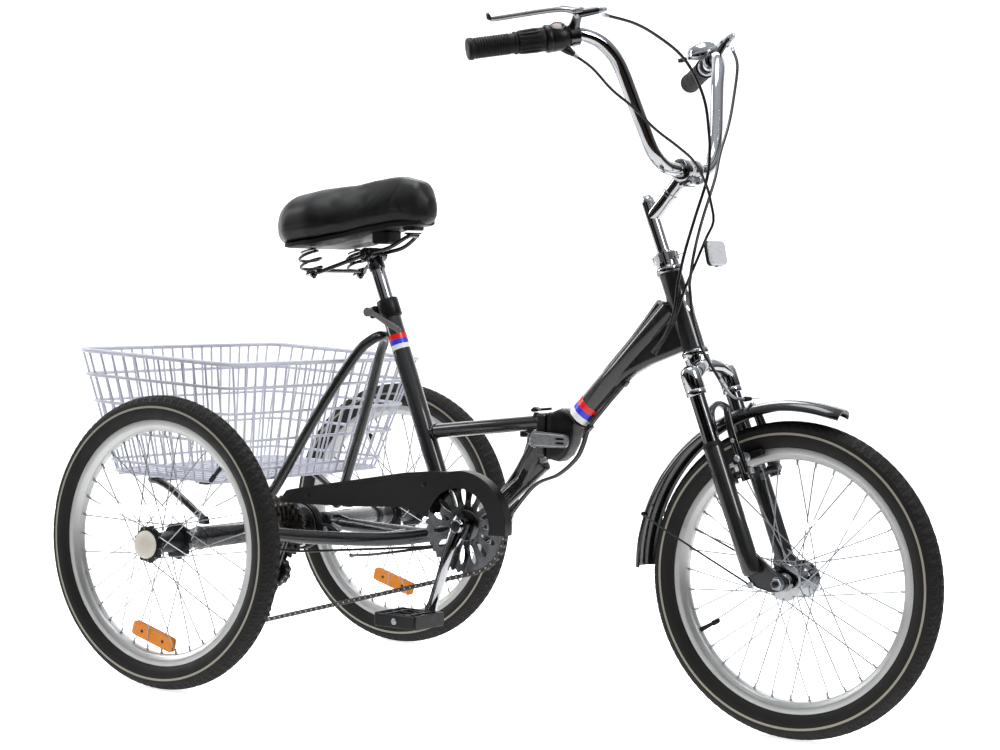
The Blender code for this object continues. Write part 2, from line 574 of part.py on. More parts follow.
def make_seat_clamp(root, lever_body):
    """The collar round the seat tube's top with its ear, and the clamp's lever."""
    collar = sleeve(seat(-0.022), seat(0.004), 0.0205, 0.0166, 20)
    collar = solid("seat_clamp", collar, "frame_black", root)
    ear = block((-0.009, -0.020, -0.009), (0.009, 0.020, 0.009))
    lean = Matrix.Rotation(math.atan2(SEAT_UP.x, SEAT_UP.z), 3, "Y")
    bmesh.ops.rotate(ear, verts=ear.verts, matrix=lean)
    bmesh.ops.translate(ear, verts=ear.verts, vec=seat(-0.009, -0.026))
    combine(collar, [solid("clamp_ear", ear, "frame_black", root)])
    start = seat(-0.009, -0.026, -0.0255)
    hub = rod(start + Y * 0.004, start - Y * 0.006, 0.0075, 12)
    lever = solid("seat_clamp_lever", hub, "frame_black", lever_body)
    path = [start - Y * 0.002, start + Vector((0.020, -0.006, -0.006))]
    path = smooth_path(path + [start + Vector((0.072, -0.006, -0.030))], 0.02)
    combine(lever, [solid("lever_grip", pipe(path, 0.0050, 8), "frame_black", lever_body)])


def basket_ring(back, ahead, half, height, tilt, inset):
    """One level of the basket, an eight-sided outline that slopes down towards the front."""
    corner = 0.035
    x0, x1, w = back + inset, ahead - inset, half - inset
    ring = [(x0 + corner, -w), (x1 - corner, -w), (x1, -w + corner), (x1, w - corner)]
    ring += [(x1 - corner, w), (x0 + corner, w), (x0, w - corner), (x0, -w + corner)]
    return [Vector((x, y, height + tilt * (x - back))) for x, y in ring]


def make_basket(root):
    """A tapered tub of welded wire, held as a thin shell."""
    wall = 0.004
    floor_at, rim_at = (-0.233, 0.036, 0.228), (-0.272, 0.094, 0.277)
    rows = [basket_ring(*floor_at, 0.3440, -0.012, 0), basket_ring(*rim_at, 0.5620, -0.036, 0)]
    rows.append(basket_ring(*rim_at, 0.5620, -0.036, wall))
    rows.append(basket_ring(*floor_at, 0.3440 + wall, -0.012, wall))
    solid("basket", loft(rows), "white_wire", root, smooth=False)


def make_guard(root):
    """The chain guard: a side plate cut away at the chainring, with a rim along its top."""
    low, high = -0.0680, -0.0665
    top = [(0.052, 0.3240), (0.180, 0.3480), (0.300, 0.3700)]
    top += arc((BB.x, BB.z), 0.0925, 112, -8, 16)
    bottom = arc((BB.x - 0.004, BB.z), 0.0625, -12, 172, 14) + [(0.032, 0.2975)]
    cover = solid("chain_guard", plate(top + bottom, low, high), "frame_black", root)
    rim = []
    for x, z in top:
        out = Vector((0, 0, 1)) if x < 0.33 else Vector((x - BB.x, 0, z - BB.z)).normalized()
        at = Vector((x, 0, z))
        section = ((high - 0.0005, 0), (-0.046, 0), (-0.046, 0.0018), (high - 0.0005, 0.0018))
        rim.append([at + Y * y - out * d for y, d in section])
    combine(cover, [solid("guard_rim", loft(rim), "frame_black", root)])


def belt_side(centre_a, radius_a, centre_b, radius_b, side):
    """The angle at which a straight run leaves circle a and meets the same side of circle b."""
    gap = Vector((centre_b[0] - centre_a[0], centre_b[1] - centre_a[1]))
    return math.atan2(gap.y, gap.x) + side * math.acos((radius_a - radius_b) / gap.length)


def crossed(centre_a, radius_a, centre_b, radius_b, side):
    """The angle at which a run leaves circle a to cross over to the other side of circle b."""
    gap = Vector((centre_b[0] - centre_a[0], centre_b[1] - centre_a[1]))
    return math.atan2(gap.y, gap.x) + side * math.acos((radius_a + radius_b) / gap.length)


def sweep(centre, radius, start, end, y, count):
    """Points round a toothed wheel, at a distance y from the middle of the machine."""
    middle = Vector((centre[0], y, centre[1]))
    angles = [start + (end - start) * i / count for i in range(count + 1)]
    return [middle + polar(a, radius) for a in angles]


def chain_route():
    """The chain's loop as (x, y, z): chainring, sprocket, guide pulley, tension pulley."""
    ring, sprocket = (BB.x, BB.z), (REAR_AXLE.x, REAR_AXLE.z)
    big, small = pitch_radius(CHAINRING_TEETH), pitch_radius(SPROCKET_TEETH)
    pulley = pitch_radius(PULLEY_TEETH)
    top = belt_side(ring, big, sprocket, small, -1)
    low = belt_side(TENSION_PULLEY, pulley, ring, big, -1)
    back = crossed(sprocket, small, GUIDE_PULLEY, pulley, -1)
    middle = crossed(GUIDE_PULLEY, pulley, TENSION_PULLEY, pulley, 1)
    end = low + (top - low) % (2 * math.pi)
    points = sweep(ring, big, low, end, CHAIN_Y, 14)
    end = top + (back - top) % (2 * math.pi)
    points += sweep(sprocket, small, top, end, SPROCKET_Y, 10)
    start = back + math.pi
    end = start - (start - middle) % (2 * math.pi)
    points += sweep(GUIDE_PULLEY, pulley, start, end, SPROCKET_Y, 9)
    start = middle + math.pi
    end = start + (low - start) % (2 * math.pi)
    return points + sweep(TENSION_PULLEY, pulley, start, end, SPROCKET_Y, 10)


def make_chain(root):
    """The chain as a closed band along its route."""
    rings = []
    points = chain_route()
    for i, point in enumerate(points):
        along = (points[(i + 1) % len(points)] - points[i - 1]).normalized()
        out = Vector((along.z, 0, -along.x)).normalized()
        section = ((0.0040, -0.004), (0.0040, 0.004), (-0.0040, 0.004), (-0.0040, -0.004))
        rings.append([point + out * r + Y * y for r, y in section])
    solid("chain", loft(rings, True), "steel", root, smooth=False)


def make_cranks(crank, pedals):
    """The two cranks on their spindle, the chainring, and the pedals."""
    reach = polar(-math.pi / 2 - CRANK_BACK, CRANK_LENGTH)
    for side, sign in (("right", -1), ("left", 1)):
        out = Y * sign
        end = BB - reach * sign
        # The right crank and the spindle are one solid, and the left crank is pressed on it.
        if sign < 0:
            spindle = rod(BB - Y * 0.060, BB + Y * 0.060, 0.0078, 16)
            start = solid("crank_right", spindle, "aluminium", crank)
            boss = rod(BB + out * 0.0575, BB + out * 0.0745, 0.0170, 16)
            parts = [solid("crank_boss", boss, "aluminium", crank)]
        else:
            boss = rod(BB + out * 0.0605, BB + out * 0.0750, 0.0165, 16)
            start = solid("crank_left", boss, "aluminium", crank)
            parts = []
        route = [BB + out * 0.0700, BB - reach * sign * 0.12 + out * 0.0770, end + out * 0.0805]
        parts.append(solid("crank_arm", pipe(route, 0.0080, 8), "aluminium", crank))
        eye = rod(end + out * 0.0725, end + out * 0.0875, 0.0125, 14)
        parts.append(solid("crank_eye", eye, "aluminium", crank))
        combine(start, parts)
        hole = rod(end + out * 0.060, end + out * 0.100, 0.0060, 12)
        combine(start, [solid("pedal_hole", hole, "aluminium", crank)], "DIFFERENCE")
        make_pedal(side, end, out, pedals[sign])
    root_r = pitch_radius(CHAINRING_TEETH) - 0.0048
    disc = [(-0.0015, root_r), (0.0015, root_r), (0.0015, 0.0082), (-0.0015, 0.0082)]
    solid("chainring", turned(disc, BB + Y * CHAIN_Y, Y, 32, True), "chrome", crank)


def make_pedal(side, end, out, pedal):
    """A platform pedal with the stub of its axle in the crank's eye."""
    section = [(-0.046, -0.008), (-0.038, -0.0125), (0.038, -0.0125), (0.046, -0.008)]
    section += [(-x, -z) for x, z in section]
    centre = end + out * 0.137
    rows = []
    for y, grow in ((-0.043, 0.9), (-0.036, 1.0), (0.036, 1.0), (0.043, 0.9)):
        rows.append([centre + Vector((x * grow, y, z * grow)) for x, z in section])
    body = solid(f"pedal_{side}", loft(rows), "black_plastic", pedal, smooth=False)
    stub = rod(end + out * 0.0735, end + out * 0.100, 0.0056, 12)
    combine(body, [solid("pedal_stub", stub, "steel", pedal)])


def make_freewheel(freewheel):
    """Six sprockets as steps of one solid, with the ratchet body inboard."""
    steps = [(0.0, 0.0282), (0.0045, 0.0282), (0.0045, 0.0320), (0.0090, 0.0320)]
    steps += [(0.0090, 0.0350), (0.0192, 0.0350), (0.0192, 0.0470), (0.0225, 0.0470)]
    steps += [(0.0225, 0.0520), (0.0245, 0.0520), (0.0250, 0.0250), (0.0370, 0.0250)]
    steps += [(0.0370, 0.0098), (0.0, 0.0098)]
    base = REAR_AXLE + Y * (SPROCKET_Y - 0.0148)
    solid("freewheel", turned(steps, base, Y, 20, True), "steel", freewheel)


def make_derailleur(root):
    """The rear derailleur: its body on the hanger, and the cage that carries the two pulleys."""
    (gx, gz), (tx, tz) = GUIDE_PULLEY, TENSION_PULLEY
    turn = math.degrees(math.atan2(tz - gz, tx - gx))
    outline = arc(GUIDE_PULLEY, 0.010, turn + 90, turn + 270, 6)
    outline += arc(TENSION_PULLEY, 0.010, turn - 90, turn + 90, 6)
    outer = plate(outline, SPROCKET_Y - 0.0070, SPROCKET_Y - 0.0055)
    inner = plate(outline, SPROCKET_Y + 0.0055, SPROCKET_Y + 0.0070)
    cage = solid("derailleur_cage", outer, "black_plastic", root)
    parts = [solid("cage_plate", inner, "black_plastic", root)]
    tooth_r = pitch_radius(PULLEY_TEETH) - 0.0060
    profile = [(-0.0062, 0.0060), (-0.0012, 0.0060), (-0.0012, tooth_r)]
    profile += [(-h, r) for h, r in profile[::-1]]
    for x, z in (GUIDE_PULLEY, TENSION_PULLEY):
        pulley = turned(profile, Vector((x, SPROCKET_Y, z)), Y, 16)
        parts.append(solid("pulley", pulley, "black_plastic", root))
    combine(cage, parts)
    knuckle = rod((0.004, -0.0650, 0.172), (0.004, -0.0420, 0.172), 0.0130, 12)
    body = solid("derailleur_body", knuckle, "black_plastic", root)
    link = [(0.016, 0.160), (0.030, 0.176), (0.052, 0.232), (0.052, 0.244)]
    link += [(0.036, 0.244), (0.018, 0.205), (0.000, 0.184)]
    link = plate(link, -0.0790, -0.0640)
    combine(body, [solid("derailleur_link", link, "black_plastic", root)])


def make_axle(axle_body, root):
    """The driven axle with its brake drum, and the band round the drum."""
    axle = rod(REAR_AXLE - Y * 0.2885, REAR_AXLE + Y * 0.2885, 0.0092, 16)
    axle = solid("rear_axle", axle, "steel", axle_body)
    drum = rod(REAR_AXLE + Y * 0.024, REAR_AXLE + Y * 0.044, 0.0398, 20)
    combine(axle, [solid("brake_drum", drum, "steel", axle_body)])
    band = sleeve(REAR_AXLE + Y * 0.0255, REAR_AXLE + Y * 0.0425, 0.0440, 0.0408, 24)
    band = solid("brake_band", band, "frame_black", root)
    arm = [(0.0405, 0.252), (0.0405, 0.240), (0.094, 0.226), (0.098, 0.234), (0.060, 0.250)]
    combine(band, [solid("band_arm", plate(arm, 0.0280, 0.0400), "frame_black", root)])


def cable(name, points, radius, on):
    """A housed cable as a curve with round section and closed ends."""
    curve = bpy.data.curves.new(name, "CURVE")
    curve.dimensions = "3D"
    curve.bevel_depth = radius
    curve.bevel_resolution = 2
    curve.use_fill_caps = True
    path = smooth_path(points, 0.026)
    spline = curve.splines.new("POLY")
    spline.points.add(len(path) - 1)
    for point, place in zip(spline.points, path):
        point.co = (*place, 1)
    curve.materials.append(finish("rubber"))
    thing = bpy.data.objects.new(name, curve)
    bpy.context.scene.collection.objects.link(thing)
    thing.parent = on
    thing.matrix_parent_inverse = Matrix.Translation(-Vector(on["rest"]))


def make_cables(fork):
    """The three housed control cables, as far as they turn with the fork."""
    cable("front_brake_cable", FRONT_CABLE, 0.0025, fork)
    cable("rear_brake_cable", REAR_CABLE, 0.0025, fork)
    cable("gear_cable", GEAR_CABLE, 0.0022, fork)


def main():
    for old in list(bpy.data.objects):
        bpy.data.objects.remove(old, do_unlink=True)
    machine = bpy.data.objects.new("tricycle", None)
    machine["rest"] = [0, 0, 0]
    machine.location = (-AXLE_TO_ORIGIN, 0, 0)
    bpy.context.scene.collection.objects.link(machine)

    # The front half turns about the folding joint and carries the fork.
    front = pivot("front_frame", HINGE)
    latch = pivot("latch", (0.543, -0.0330, 0.439))
    fork = pivot("fork", HEAD_LOW, front)
    lowers = pivot("lower_legs", steer(-0.152, LEG_AHEAD), fork)
    front_spin = pivot("front_wheel", FRONT_AXLE, lowers)
    boss = FRONT_AXLE + STEER_UP * 0.178
    arm_right = pivot("brake_arm_right", boss - Y * 0.046, lowers)
    arm_left = pivot("brake_arm_left", boss + Y * 0.046, lowers)
    outer_right, along_right = bar_frame(-1)
    outer_left, along_left = bar_frame(1)
    shift = pivot("shifter", outer_right + along_right * 0.096, fork)
    levers = {-1: pivot("lever_right", lever_root(-1)[0], fork)}
    levers[1] = pivot("lever_left", lever_root(1)[0], fork)
    bell_hinge = outer_left + along_left * BELL_AT + bell_up() * 0.016
    bell_hinge = pivot("bell_thumb", bell_hinge, fork)

    # The seat slides in the rear half, which also carries the drive.
    seat_body = pivot("seat", SEAT_TOP)
    seat_lever = pivot("seat_lever", seat(-0.009, -0.026))
    saddle_top = pivot("saddle_top", seat(0.087), seat_body)
    crank = pivot("crank_set", BB)
    reach = polar(-math.pi / 2 - CRANK_BACK, CRANK_LENGTH)
    pedals = {-1: pivot("right_pedal", BB + reach - Y * 0.137, crank)}
    pedals[1] = pivot("left_pedal", BB - reach + Y * 0.137, crank)
    axle_body = pivot("drive_axle", REAR_AXLE)
    left_wheel = pivot("left_wheel", REAR_AXLE + Y * TRACK / 2)
    freewheel = pivot("sprockets", REAR_AXLE)

    make_wheels(front_spin, axle_body, left_wheel)
    make_rear_frame(machine)
    make_hinge(machine, front)
    make_latch(latch)
    make_front_frame(front)
    make_fork(fork, lowers)
    make_mudguard(lowers)
    make_front_brake(arm_right, arm_left)
    make_bars(fork)
    make_controls(fork, shift, levers, bell_hinge)
    make_reflector(fork)
    make_saddle(seat_body, saddle_top)
    make_seat_clamp(machine, seat_lever)
    make_basket(machine)
    make_guard(machine)
    make_chain(machine)
    make_cranks(crank, pedals)
    make_freewheel(freewheel)
    make_derailleur(machine)
    make_axle(axle_body, machine)
    make_cables(fork)


main()
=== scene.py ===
"""Folding adult tricycle: the looks of every piece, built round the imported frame."""

import json
import math

import bmesh
import bpy
from mathutils import Matrix, Vector
from mathutils.geometry import tessellate_polygon


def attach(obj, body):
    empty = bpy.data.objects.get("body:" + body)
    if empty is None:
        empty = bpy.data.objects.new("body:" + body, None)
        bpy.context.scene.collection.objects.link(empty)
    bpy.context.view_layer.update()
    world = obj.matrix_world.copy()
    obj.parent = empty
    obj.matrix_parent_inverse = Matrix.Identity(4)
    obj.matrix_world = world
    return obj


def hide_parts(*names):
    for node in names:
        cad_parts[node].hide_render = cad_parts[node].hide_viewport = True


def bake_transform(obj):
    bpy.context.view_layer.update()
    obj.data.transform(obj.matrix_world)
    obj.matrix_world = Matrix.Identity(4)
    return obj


bl_info = {
    "name": "Folding tricycle",
    "version": (1, 0, 0),
    "blender": (4, 5, 0),
    "location": "View3D > Sidebar > Tricycle",
    "description": "Builds the visible pieces of a folding adult tricycle on its rigid frame",
    "category": "Object",
}

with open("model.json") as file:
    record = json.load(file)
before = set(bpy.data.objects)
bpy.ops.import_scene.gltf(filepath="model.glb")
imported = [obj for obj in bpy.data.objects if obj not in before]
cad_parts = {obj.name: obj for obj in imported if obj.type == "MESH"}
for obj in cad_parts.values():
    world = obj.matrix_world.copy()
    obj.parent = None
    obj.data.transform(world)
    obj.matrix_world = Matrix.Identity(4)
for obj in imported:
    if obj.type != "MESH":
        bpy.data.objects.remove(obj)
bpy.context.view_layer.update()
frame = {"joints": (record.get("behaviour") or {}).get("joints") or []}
JOINTS = {joint["name"]: joint for joint in frame["joints"]}
X, Y, Z = Vector((1, 0, 0)), Vector((0, 1, 0)), Vector((0, 0, 1))
MM = 0.001

# The main places, read from the frame's joints where it has them.
REAR_AXLE = Vector(JOINTS["rear_axle_spin"]["pos_m"])
FRONT_AXLE = Vector(JOINTS["front_wheel_spin"]["pos_m"])
BRACKET = Vector(JOINTS["crank_spin"]["pos_m"])
HEAD_LOW = Vector(JOINTS["steering"]["pos_m"])
STEER_UP = Vector(JOINTS["steering"]["axis"]).normalized()
STEER_AHEAD = Vector((STEER_UP.z, 0, -STEER_UP.x))
SEAT_TOP = REAR_AXLE + Vector((0.2095, 0, 0.4085))
SEAT_UP = Vector(JOINTS["seat_height"]["axis"]).normalized()
SEAT_AHEAD = Vector((SEAT_UP.z, 0, -SEAT_UP.x))
HINGE = Vector(JOINTS["frame_fold"]["pos_m"])
HALF_TRACK = Vector(JOINTS["rear_left_wheel_spin"]["pos_m"]).y
WHEEL_R = FRONT_AXLE.z


def at(x, y, z):
    """A point measured from the floor under the rear axle."""
    return Vector((REAR_AXLE.x + x, y, z))


def steer(up, ahead=0.0, y=0.0):
    """A point in the fork's own directions, from the foot of the head tube."""
    return HEAD_LOW + STEER_UP * up + STEER_AHEAD * ahead + Y * y


def seat(up, ahead=0.0, y=0.0):
    """A point in the seat tube's own directions, from its top."""
    return SEAT_TOP + SEAT_UP * up + SEAT_AHEAD * ahead + Y * y


# ---------------------------------------------------------------- settings


class TricycleSizes(bpy.types.PropertyGroup):
    """Sizes that change from one build to another."""

    spokes: bpy.props.IntProperty(name="Spokes", description="Spokes in each wheel", default=36,
        min=12, max=48)
    spoke_width: bpy.props.FloatProperty(
        name="Spoke", description="Thickness of a spoke", default=0.002, min=0.001, max=0.004, unit="LENGTH"
    )
    tread_depth: bpy.props.FloatProperty(
        name="Tread", description="Depth of the tyre's grooves", default=0.0022, min=0, max=0.003,
            unit="LENGTH"
    )
    basket_wire: bpy.props.FloatProperty(
        name="Basket wire", description="Thickness of the mesh wire", default=0.0038, min=0.001,
            max=0.006, unit="LENGTH"
    )
    basket_gap: bpy.props.FloatProperty(
        name="Basket gap", description="Space between upright wires", default=0.0262, min=0.01,
            max=0.06, unit="LENGTH"
    )
    chain_pitch: bpy.props.FloatProperty(
        name="Chain pitch", description="Distance between chain pins", default=0.0127, min=0.008,
            max=0.02, unit="LENGTH"
    )


class TricycleColours(bpy.types.PropertyGroup):
    """Paint and plastic colours, as linear light."""

    enamel: bpy.props.FloatVectorProperty(
        name="Frame", description="Frame enamel", subtype="COLOR", default=(0.011, 0.0112, 0.0116),
            min=0, max=1
    )
    wire: bpy.props.FloatVectorProperty(
        name="Basket", description="Basket coating", subtype="COLOR", default=(0.6, 0.61, 0.69),
            min=0, max=1
    )
    band_top: bpy.props.FloatVectorProperty(
        name="First band", description="Upper band on the tubes", subtype="COLOR",
            default=(0.84, 0.018, 0.012), min=0, max=1
    )
    band_middle: bpy.props.FloatVectorProperty(
        name="Second band", description="Middle band on the tubes", subtype="COLOR",
            default=(0.036, 0.048, 0.73), min=0, max=1
    )
    marker: bpy.props.FloatVectorProperty(
        name="Wheel markers", description="Reflectors in the wheels", subtype="COLOR",
            default=(0.9, 0.27, 0.0), min=0, max=1
    )


def sizes():
    return bpy.context.scene.tricycle_sizes


def colours():
    return bpy.context.scene.tricycle_colours


# ---------------------------------------------------------------- materials


def colour(code):
    """An sRGB hex code as linear red, green, blue and alpha."""
    parts = [int(code[i : i + 2], 16) / 255 for i in (0, 2, 4)]
    return tuple(c / 12.92 if c <= 0.04045 else ((c + 0.055) / 1.055) ** 2.4 for c in parts) + (1.0,)


def add(tree, kind, settings=None, links=None):
    """Adds one node: settings are attributes or input values, links join its inputs to outputs."""
    node = tree.nodes.new(kind)
    for name, value in (settings or {}).items():
        if name in node.inputs:
            node.inputs[name].default_value = value
        else:
            setattr(node, name, value)
    for name, (source, output) in (links or {}).items():
        tree.links.new(source.outputs[output], node.inputs[name])
    return node


def blank(name, base, rough, **more):
    """A material with one Principled shader, and the tree to add its pattern to."""
    look = bpy.data.materials.get(name)
    if look:
        return look, None, None
    look = bpy.data.materials.new(name)
    look.use_nodes = True
    shader = look.node_tree.nodes["Principled BSDF"]
    shader.inputs["Base Color"].default_value = base
    shader.inputs["Roughness"].default_value = rough
    for key, value in more.items():
        shader.inputs[key.replace("_", " ")].default_value = value
    return look, look.node_tree, shader


def grain(tree, size_mm, detail=3.0, stretch=(1, 1, 1), rough=0.55):
    """Noise whose grains are about size_mm across, measured on the object itself."""
    place = add(tree, "ShaderNodeTexCoord")
    scaled = add(tree, "ShaderNodeMapping", {"Scale": stretch}, {"Vector": (place, "Object")})
    settings = {"Scale": 1 / (size_mm * MM), "Detail": detail, "Roughness": rough}
    return add(tree, "ShaderNodeTexNoise", settings, {"Vector": (scaled, "Vector")})


def ramp(tree, source, output, low, high, value_low, value_high):
    settings = {"From Min": low, "From Max": high, "To Min": value_low, "To Max": value_high}
    return add(tree, "ShaderNodeMapRange", settings, {"Value": (source, output)})


def tint(tree, source, output, first, second):
    """Mixes two colours by a pattern."""
    mix = add(tree, "ShaderNodeMix", {"data_type": "RGBA"}, {})
    mix.inputs[6].default_value, mix.inputs[7].default_value = first, second
    tree.links.new(source.outputs[output], mix.inputs[0])
    return mix


def relief(tree, shader, source, output, depth_mm, strength=1.0):
    links = {"Height": (source, output)}
    bump = add(tree, "ShaderNodeBump", {"Strength": strength, "Distance": depth_mm * MM}, links)
    tree.links.new(bump.outputs["Normal"], shader.inputs["Normal"])
    return bump


def enamel():
    """Black stoved enamel: deep under a clear gloss coat, with a faint ripple from the spray gun."""
    base = (*colours().enamel, 1)
    look, tree, shader = blank("Black stoved enamel", base, 0.3, Coat_Weight=0.8,
        Coat_Roughness=0.05, Specular_IOR_Level=0.22)
    if tree:
        dust = grain(tree, 26, 4)
        tree.links.new(ramp(tree, dust, "Fac", 0.35, 0.7, 0.24, 0.38).outputs[0],
            shader.inputs["Roughness"])
        mix = tint(tree, dust, "Fac", base, tuple(c * 1.45 for c in base[:3]) + (1,))
        tree.links.new(mix.outputs[2], shader.inputs["Base Color"])
        relief(tree, shader, grain(tree, 3.2, 2), "Fac", 0.05, 0.25)
    return look


def satin_enamel():
    """Black sprayed steel pressing: a softer sheen than the frame, since it has no clear coat."""
    look, tree, shader = blank("Satin black sprayed steel", colour("141415"), 0.36, Specular_IOR_Level=0.3)
    if tree:
        dust = grain(tree, 14, 4)
        tree.links.new(ramp(tree, dust, "Fac", 0.3, 0.7, 0.29, 0.46).outputs[0], shader.inputs["Roughness"])
        relief(tree, shader, grain(tree, 1.1, 2), "Fac", 0.02, 0.3)
    return look


def chrome():
    """Chrome plate on polished steel: a mirror with the tube's slight wave and a little haze."""
    look, tree, shader = blank("Chrome plated steel", colour("b9babc"), 0.07, Metallic=1.0)
    if tree:
        haze = grain(tree, 18, 5)
        tree.links.new(ramp(tree, haze, "Fac", 0.45, 0.75, 0.06, 0.13).outputs[0],
            shader.inputs["Roughness"])
        mix = tint(tree, haze, "Fac", colour("c2c3c5"), colour("a3a4a7"))
        tree.links.new(mix.outputs[2], shader.inputs["Base Color"])
        relief(tree, shader, grain(tree, 30, 1), "Fac", 0.04, 0.06)
    return look


def dark_chrome():
    """Black chrome on the inner fork legs and lever bodies: a dark mirror."""
    look, tree, shader = blank("Black chrome plate", colour("5a5b5d"), 0.16, Metallic=1.0)
    if tree:
        haze = grain(tree, 12, 4)
        tree.links.new(ramp(tree, haze, "Fac", 0.4, 0.7, 0.1, 0.25).outputs[0], shader.inputs["Roughness"])
    return look


def rim_alloy():
    """Rolled aluminium rim, etched to a satin: pale and soft, with fine marks that run round the wheel."""
    look, tree, shader = blank("Satin rolled aluminium", colour("b9bab9"), 0.38, Metallic=0.85)
    if tree:
        marks = grain(tree, 2.2, 4, (1, 0.2, 1))
        tree.links.new(ramp(tree, marks, "Fac", 0.3, 0.7, 0.3, 0.5).outputs[0], shader.inputs["Roughness"])
        cloud = grain(tree, 60, 3)
        mix = tint(tree, cloud, "Fac", colour("c9cac8"), colour("aaaba9"))
        tree.links.new(mix.outputs[2], shader.inputs["Base Color"])
        relief(tree, shader, marks, "Fac", 0.02, 0.3)
    return look


def cast_alloy():
    """Tumbled cast aluminium: brighter on the edges, with a fine pebbled skin."""
    look, tree, shader = blank("Tumbled cast aluminium", colour("a5a6a8"), 0.3, Metallic=1.0)
    if tree:
        skin = grain(tree, 1.3, 4)
        tree.links.new(ramp(tree, skin, "Fac", 0.3, 0.7, 0.22, 0.42).outputs[0], shader.inputs["Roughness"])
        mix = tint(tree, grain(tree, 15, 3), "Fac", colour("b3b4b5"), colour("8b8c8e"))
        tree.links.new(mix.outputs[2], shader.inputs["Base Color"])
        relief(tree, shader, skin, "Fac", 0.04, 0.4)
    return look


def zinc():
    """Zinc plated steel wire and fasteners: cool grey with a blurred shine."""
    look, tree, shader = blank("Zinc plated steel", colour("a9adb0"), 0.42, Metallic=1.0)
    if tree:
        mix = tint(tree, grain(tree, 7, 4), "Fac", colour("b8bcc0"), colour("8c9094"))
        tree.links.new(mix.outputs[2], shader.inputs["Base Color"])
    return look


def oiled_steel():
    """Oiled blued steel of the chain and sprockets: dark brown-grey, greasy in the hollows."""
    look, tree, shader = blank("Oiled blued steel", colour("4a4744"), 0.36, Metallic=0.9)
    if tree:
        oil = grain(tree, 4, 5)
        tree.links.new(ramp(tree, oil, "Fac", 0.35, 0.65, 0.22, 0.55).outputs[0],
            shader.inputs["Roughness"])
        mix = tint(tree, oil, "Fac", colour("3a3735"), colour("635f5a"))
        tree.links.new(mix.outputs[2], shader.inputs["Base Color"])
    return look


def tyre_rubber():
    """Moulded tyre rubber: matt carbon black, a touch brown with bloom, and fine mould grain."""
    look, tree, shader = blank("Moulded tyre rubber", colour("161514"), 0.62, Specular_IOR_Level=0.25)
    if tree:
        bloom = grain(tree, 22, 5)
        tree.links.new(ramp(tree, bloom, "Fac", 0.3, 0.75, 0.52, 0.74).outputs[0],
            shader.inputs["Roughness"])
        mix = tint(tree, bloom, "Fac", colour("11100f"), colour("1d1b19"))
        tree.links.new(mix.outputs[2], shader.inputs["Base Color"])
        relief(tree, shader, grain(tree, 0.9, 3), "Fac", 0.08, 0.4)
    return look


def reflex_strip():
    """Reflective cloth strip bonded to the tyre wall: pale warm grey with a woven grain."""
    look, tree, shader = blank("Bonded reflective strip", colour("8f8a7c"), 0.5)
    if tree:
        weave = grain(tree, 0.8, 2)
        mix = tint(tree, weave, "Fac", colour("7f7a6c"), colour("a39e8f"))
        tree.links.new(mix.outputs[2], shader.inputs["Base Color"])
        relief(tree, shader, weave, "Fac", 0.05, 0.4)
    return look


def grip_rubber():
    """Soft moulded grip rubber: black and dull, with a leathery mould grain."""
    look, tree, shader = blank("Soft grip rubber", colour("111010"), 0.56, Specular_IOR_Level=0.25)
    if tree:
        skin = grain(tree, 0.7, 3)
        relief(tree, shader, skin, "Fac", 0.1, 0.5)
        tree.links.new(ramp(tree, grain(tree, 12, 3), "Fac", 0.3, 0.7, 0.48, 0.66).outputs[0],
            shader.inputs["Roughness"])
    return look


def moulded_plastic():
    """Moulded black ABS: fine spark-eroded texture that blurs the highlights."""
    look, tree, shader = blank("Black moulded ABS", colour("101011"), 0.38, Specular_IOR_Level=0.3)
    if tree:
        spark = grain(tree, 0.6, 2)
        relief(tree, shader, spark, "Fac", 0.03, 0.5)
        tree.links.new(ramp(tree, grain(tree, 10, 3), "Fac", 0.3, 0.7, 0.3, 0.47).outputs[0],
            shader.inputs["Roughness"])
    return look


def gloss_plastic():
    """Polished black nylon shells of the brake: smooth, with a clear highlight."""
    look, tree, shader = blank("Polished black nylon", colour("101011"), 0.16, Coat_Weight=0.4,
        Coat_Roughness=0.08)
    if tree:
        tree.links.new(ramp(tree, grain(tree, 9, 3), "Fac", 0.3, 0.7, 0.12, 0.26).outputs[0],
            shader.inputs["Roughness"])
    return look


def grey_nylon():
    """Glass-filled nylon of the seat lever: grey, speckled and dull."""
    look, tree, shader = blank("Glass filled grey nylon", colour("5f5f5d"), 0.52)
    if tree:
        specks = grain(tree, 0.9, 2)
        mix = tint(tree, specks, "Fac", colour("484846"), colour("7b7b78"))
        tree.links.new(mix.outputs[2], shader.inputs["Base Color"])
        relief(tree, shader, specks, "Fac", 0.1, 0.6)
    return look


def pvc():
    """Extruded PVC cable housing: black with a soft gloss along its length."""
    look, tree, shader = blank("Extruded black PVC", colour("141415"), 0.28)
    if tree:
        tree.links.new(ramp(tree, grain(tree, 16, 2), "Fac", 0.3, 0.7, 0.22, 0.36).outputs[0],
            shader.inputs["Roughness"])
    return look


def vinyl():
    """Black PVC-coated cloth of the saddle: leather grain, satin, with grey where it is stretched thin."""
    look, tree, shader = blank("Black grained vinyl", colour("111111"), 0.42, Specular_IOR_Level=0.32)
    if tree:
        place = add(tree, "ShaderNodeTexCoord")
        cells = add(tree, "ShaderNodeTexVoronoi", {"Scale": 1 / (1.5 * MM)}, {"Vector": (place, "Object")})
        relief(tree, shader, cells, "Distance", 0.12, 0.5)
        cloud = grain(tree, 34, 3)
        tree.links.new(ramp(tree, cloud, "Fac", 0.3, 0.7, 0.36, 0.52).outputs[0],
            shader.inputs["Roughness"])
        mix = tint(tree, cloud, "Fac", colour("0e0e0e"), colour("171716"))
        tree.links.new(mix.outputs[2], shader.inputs["Base Color"])
    return look


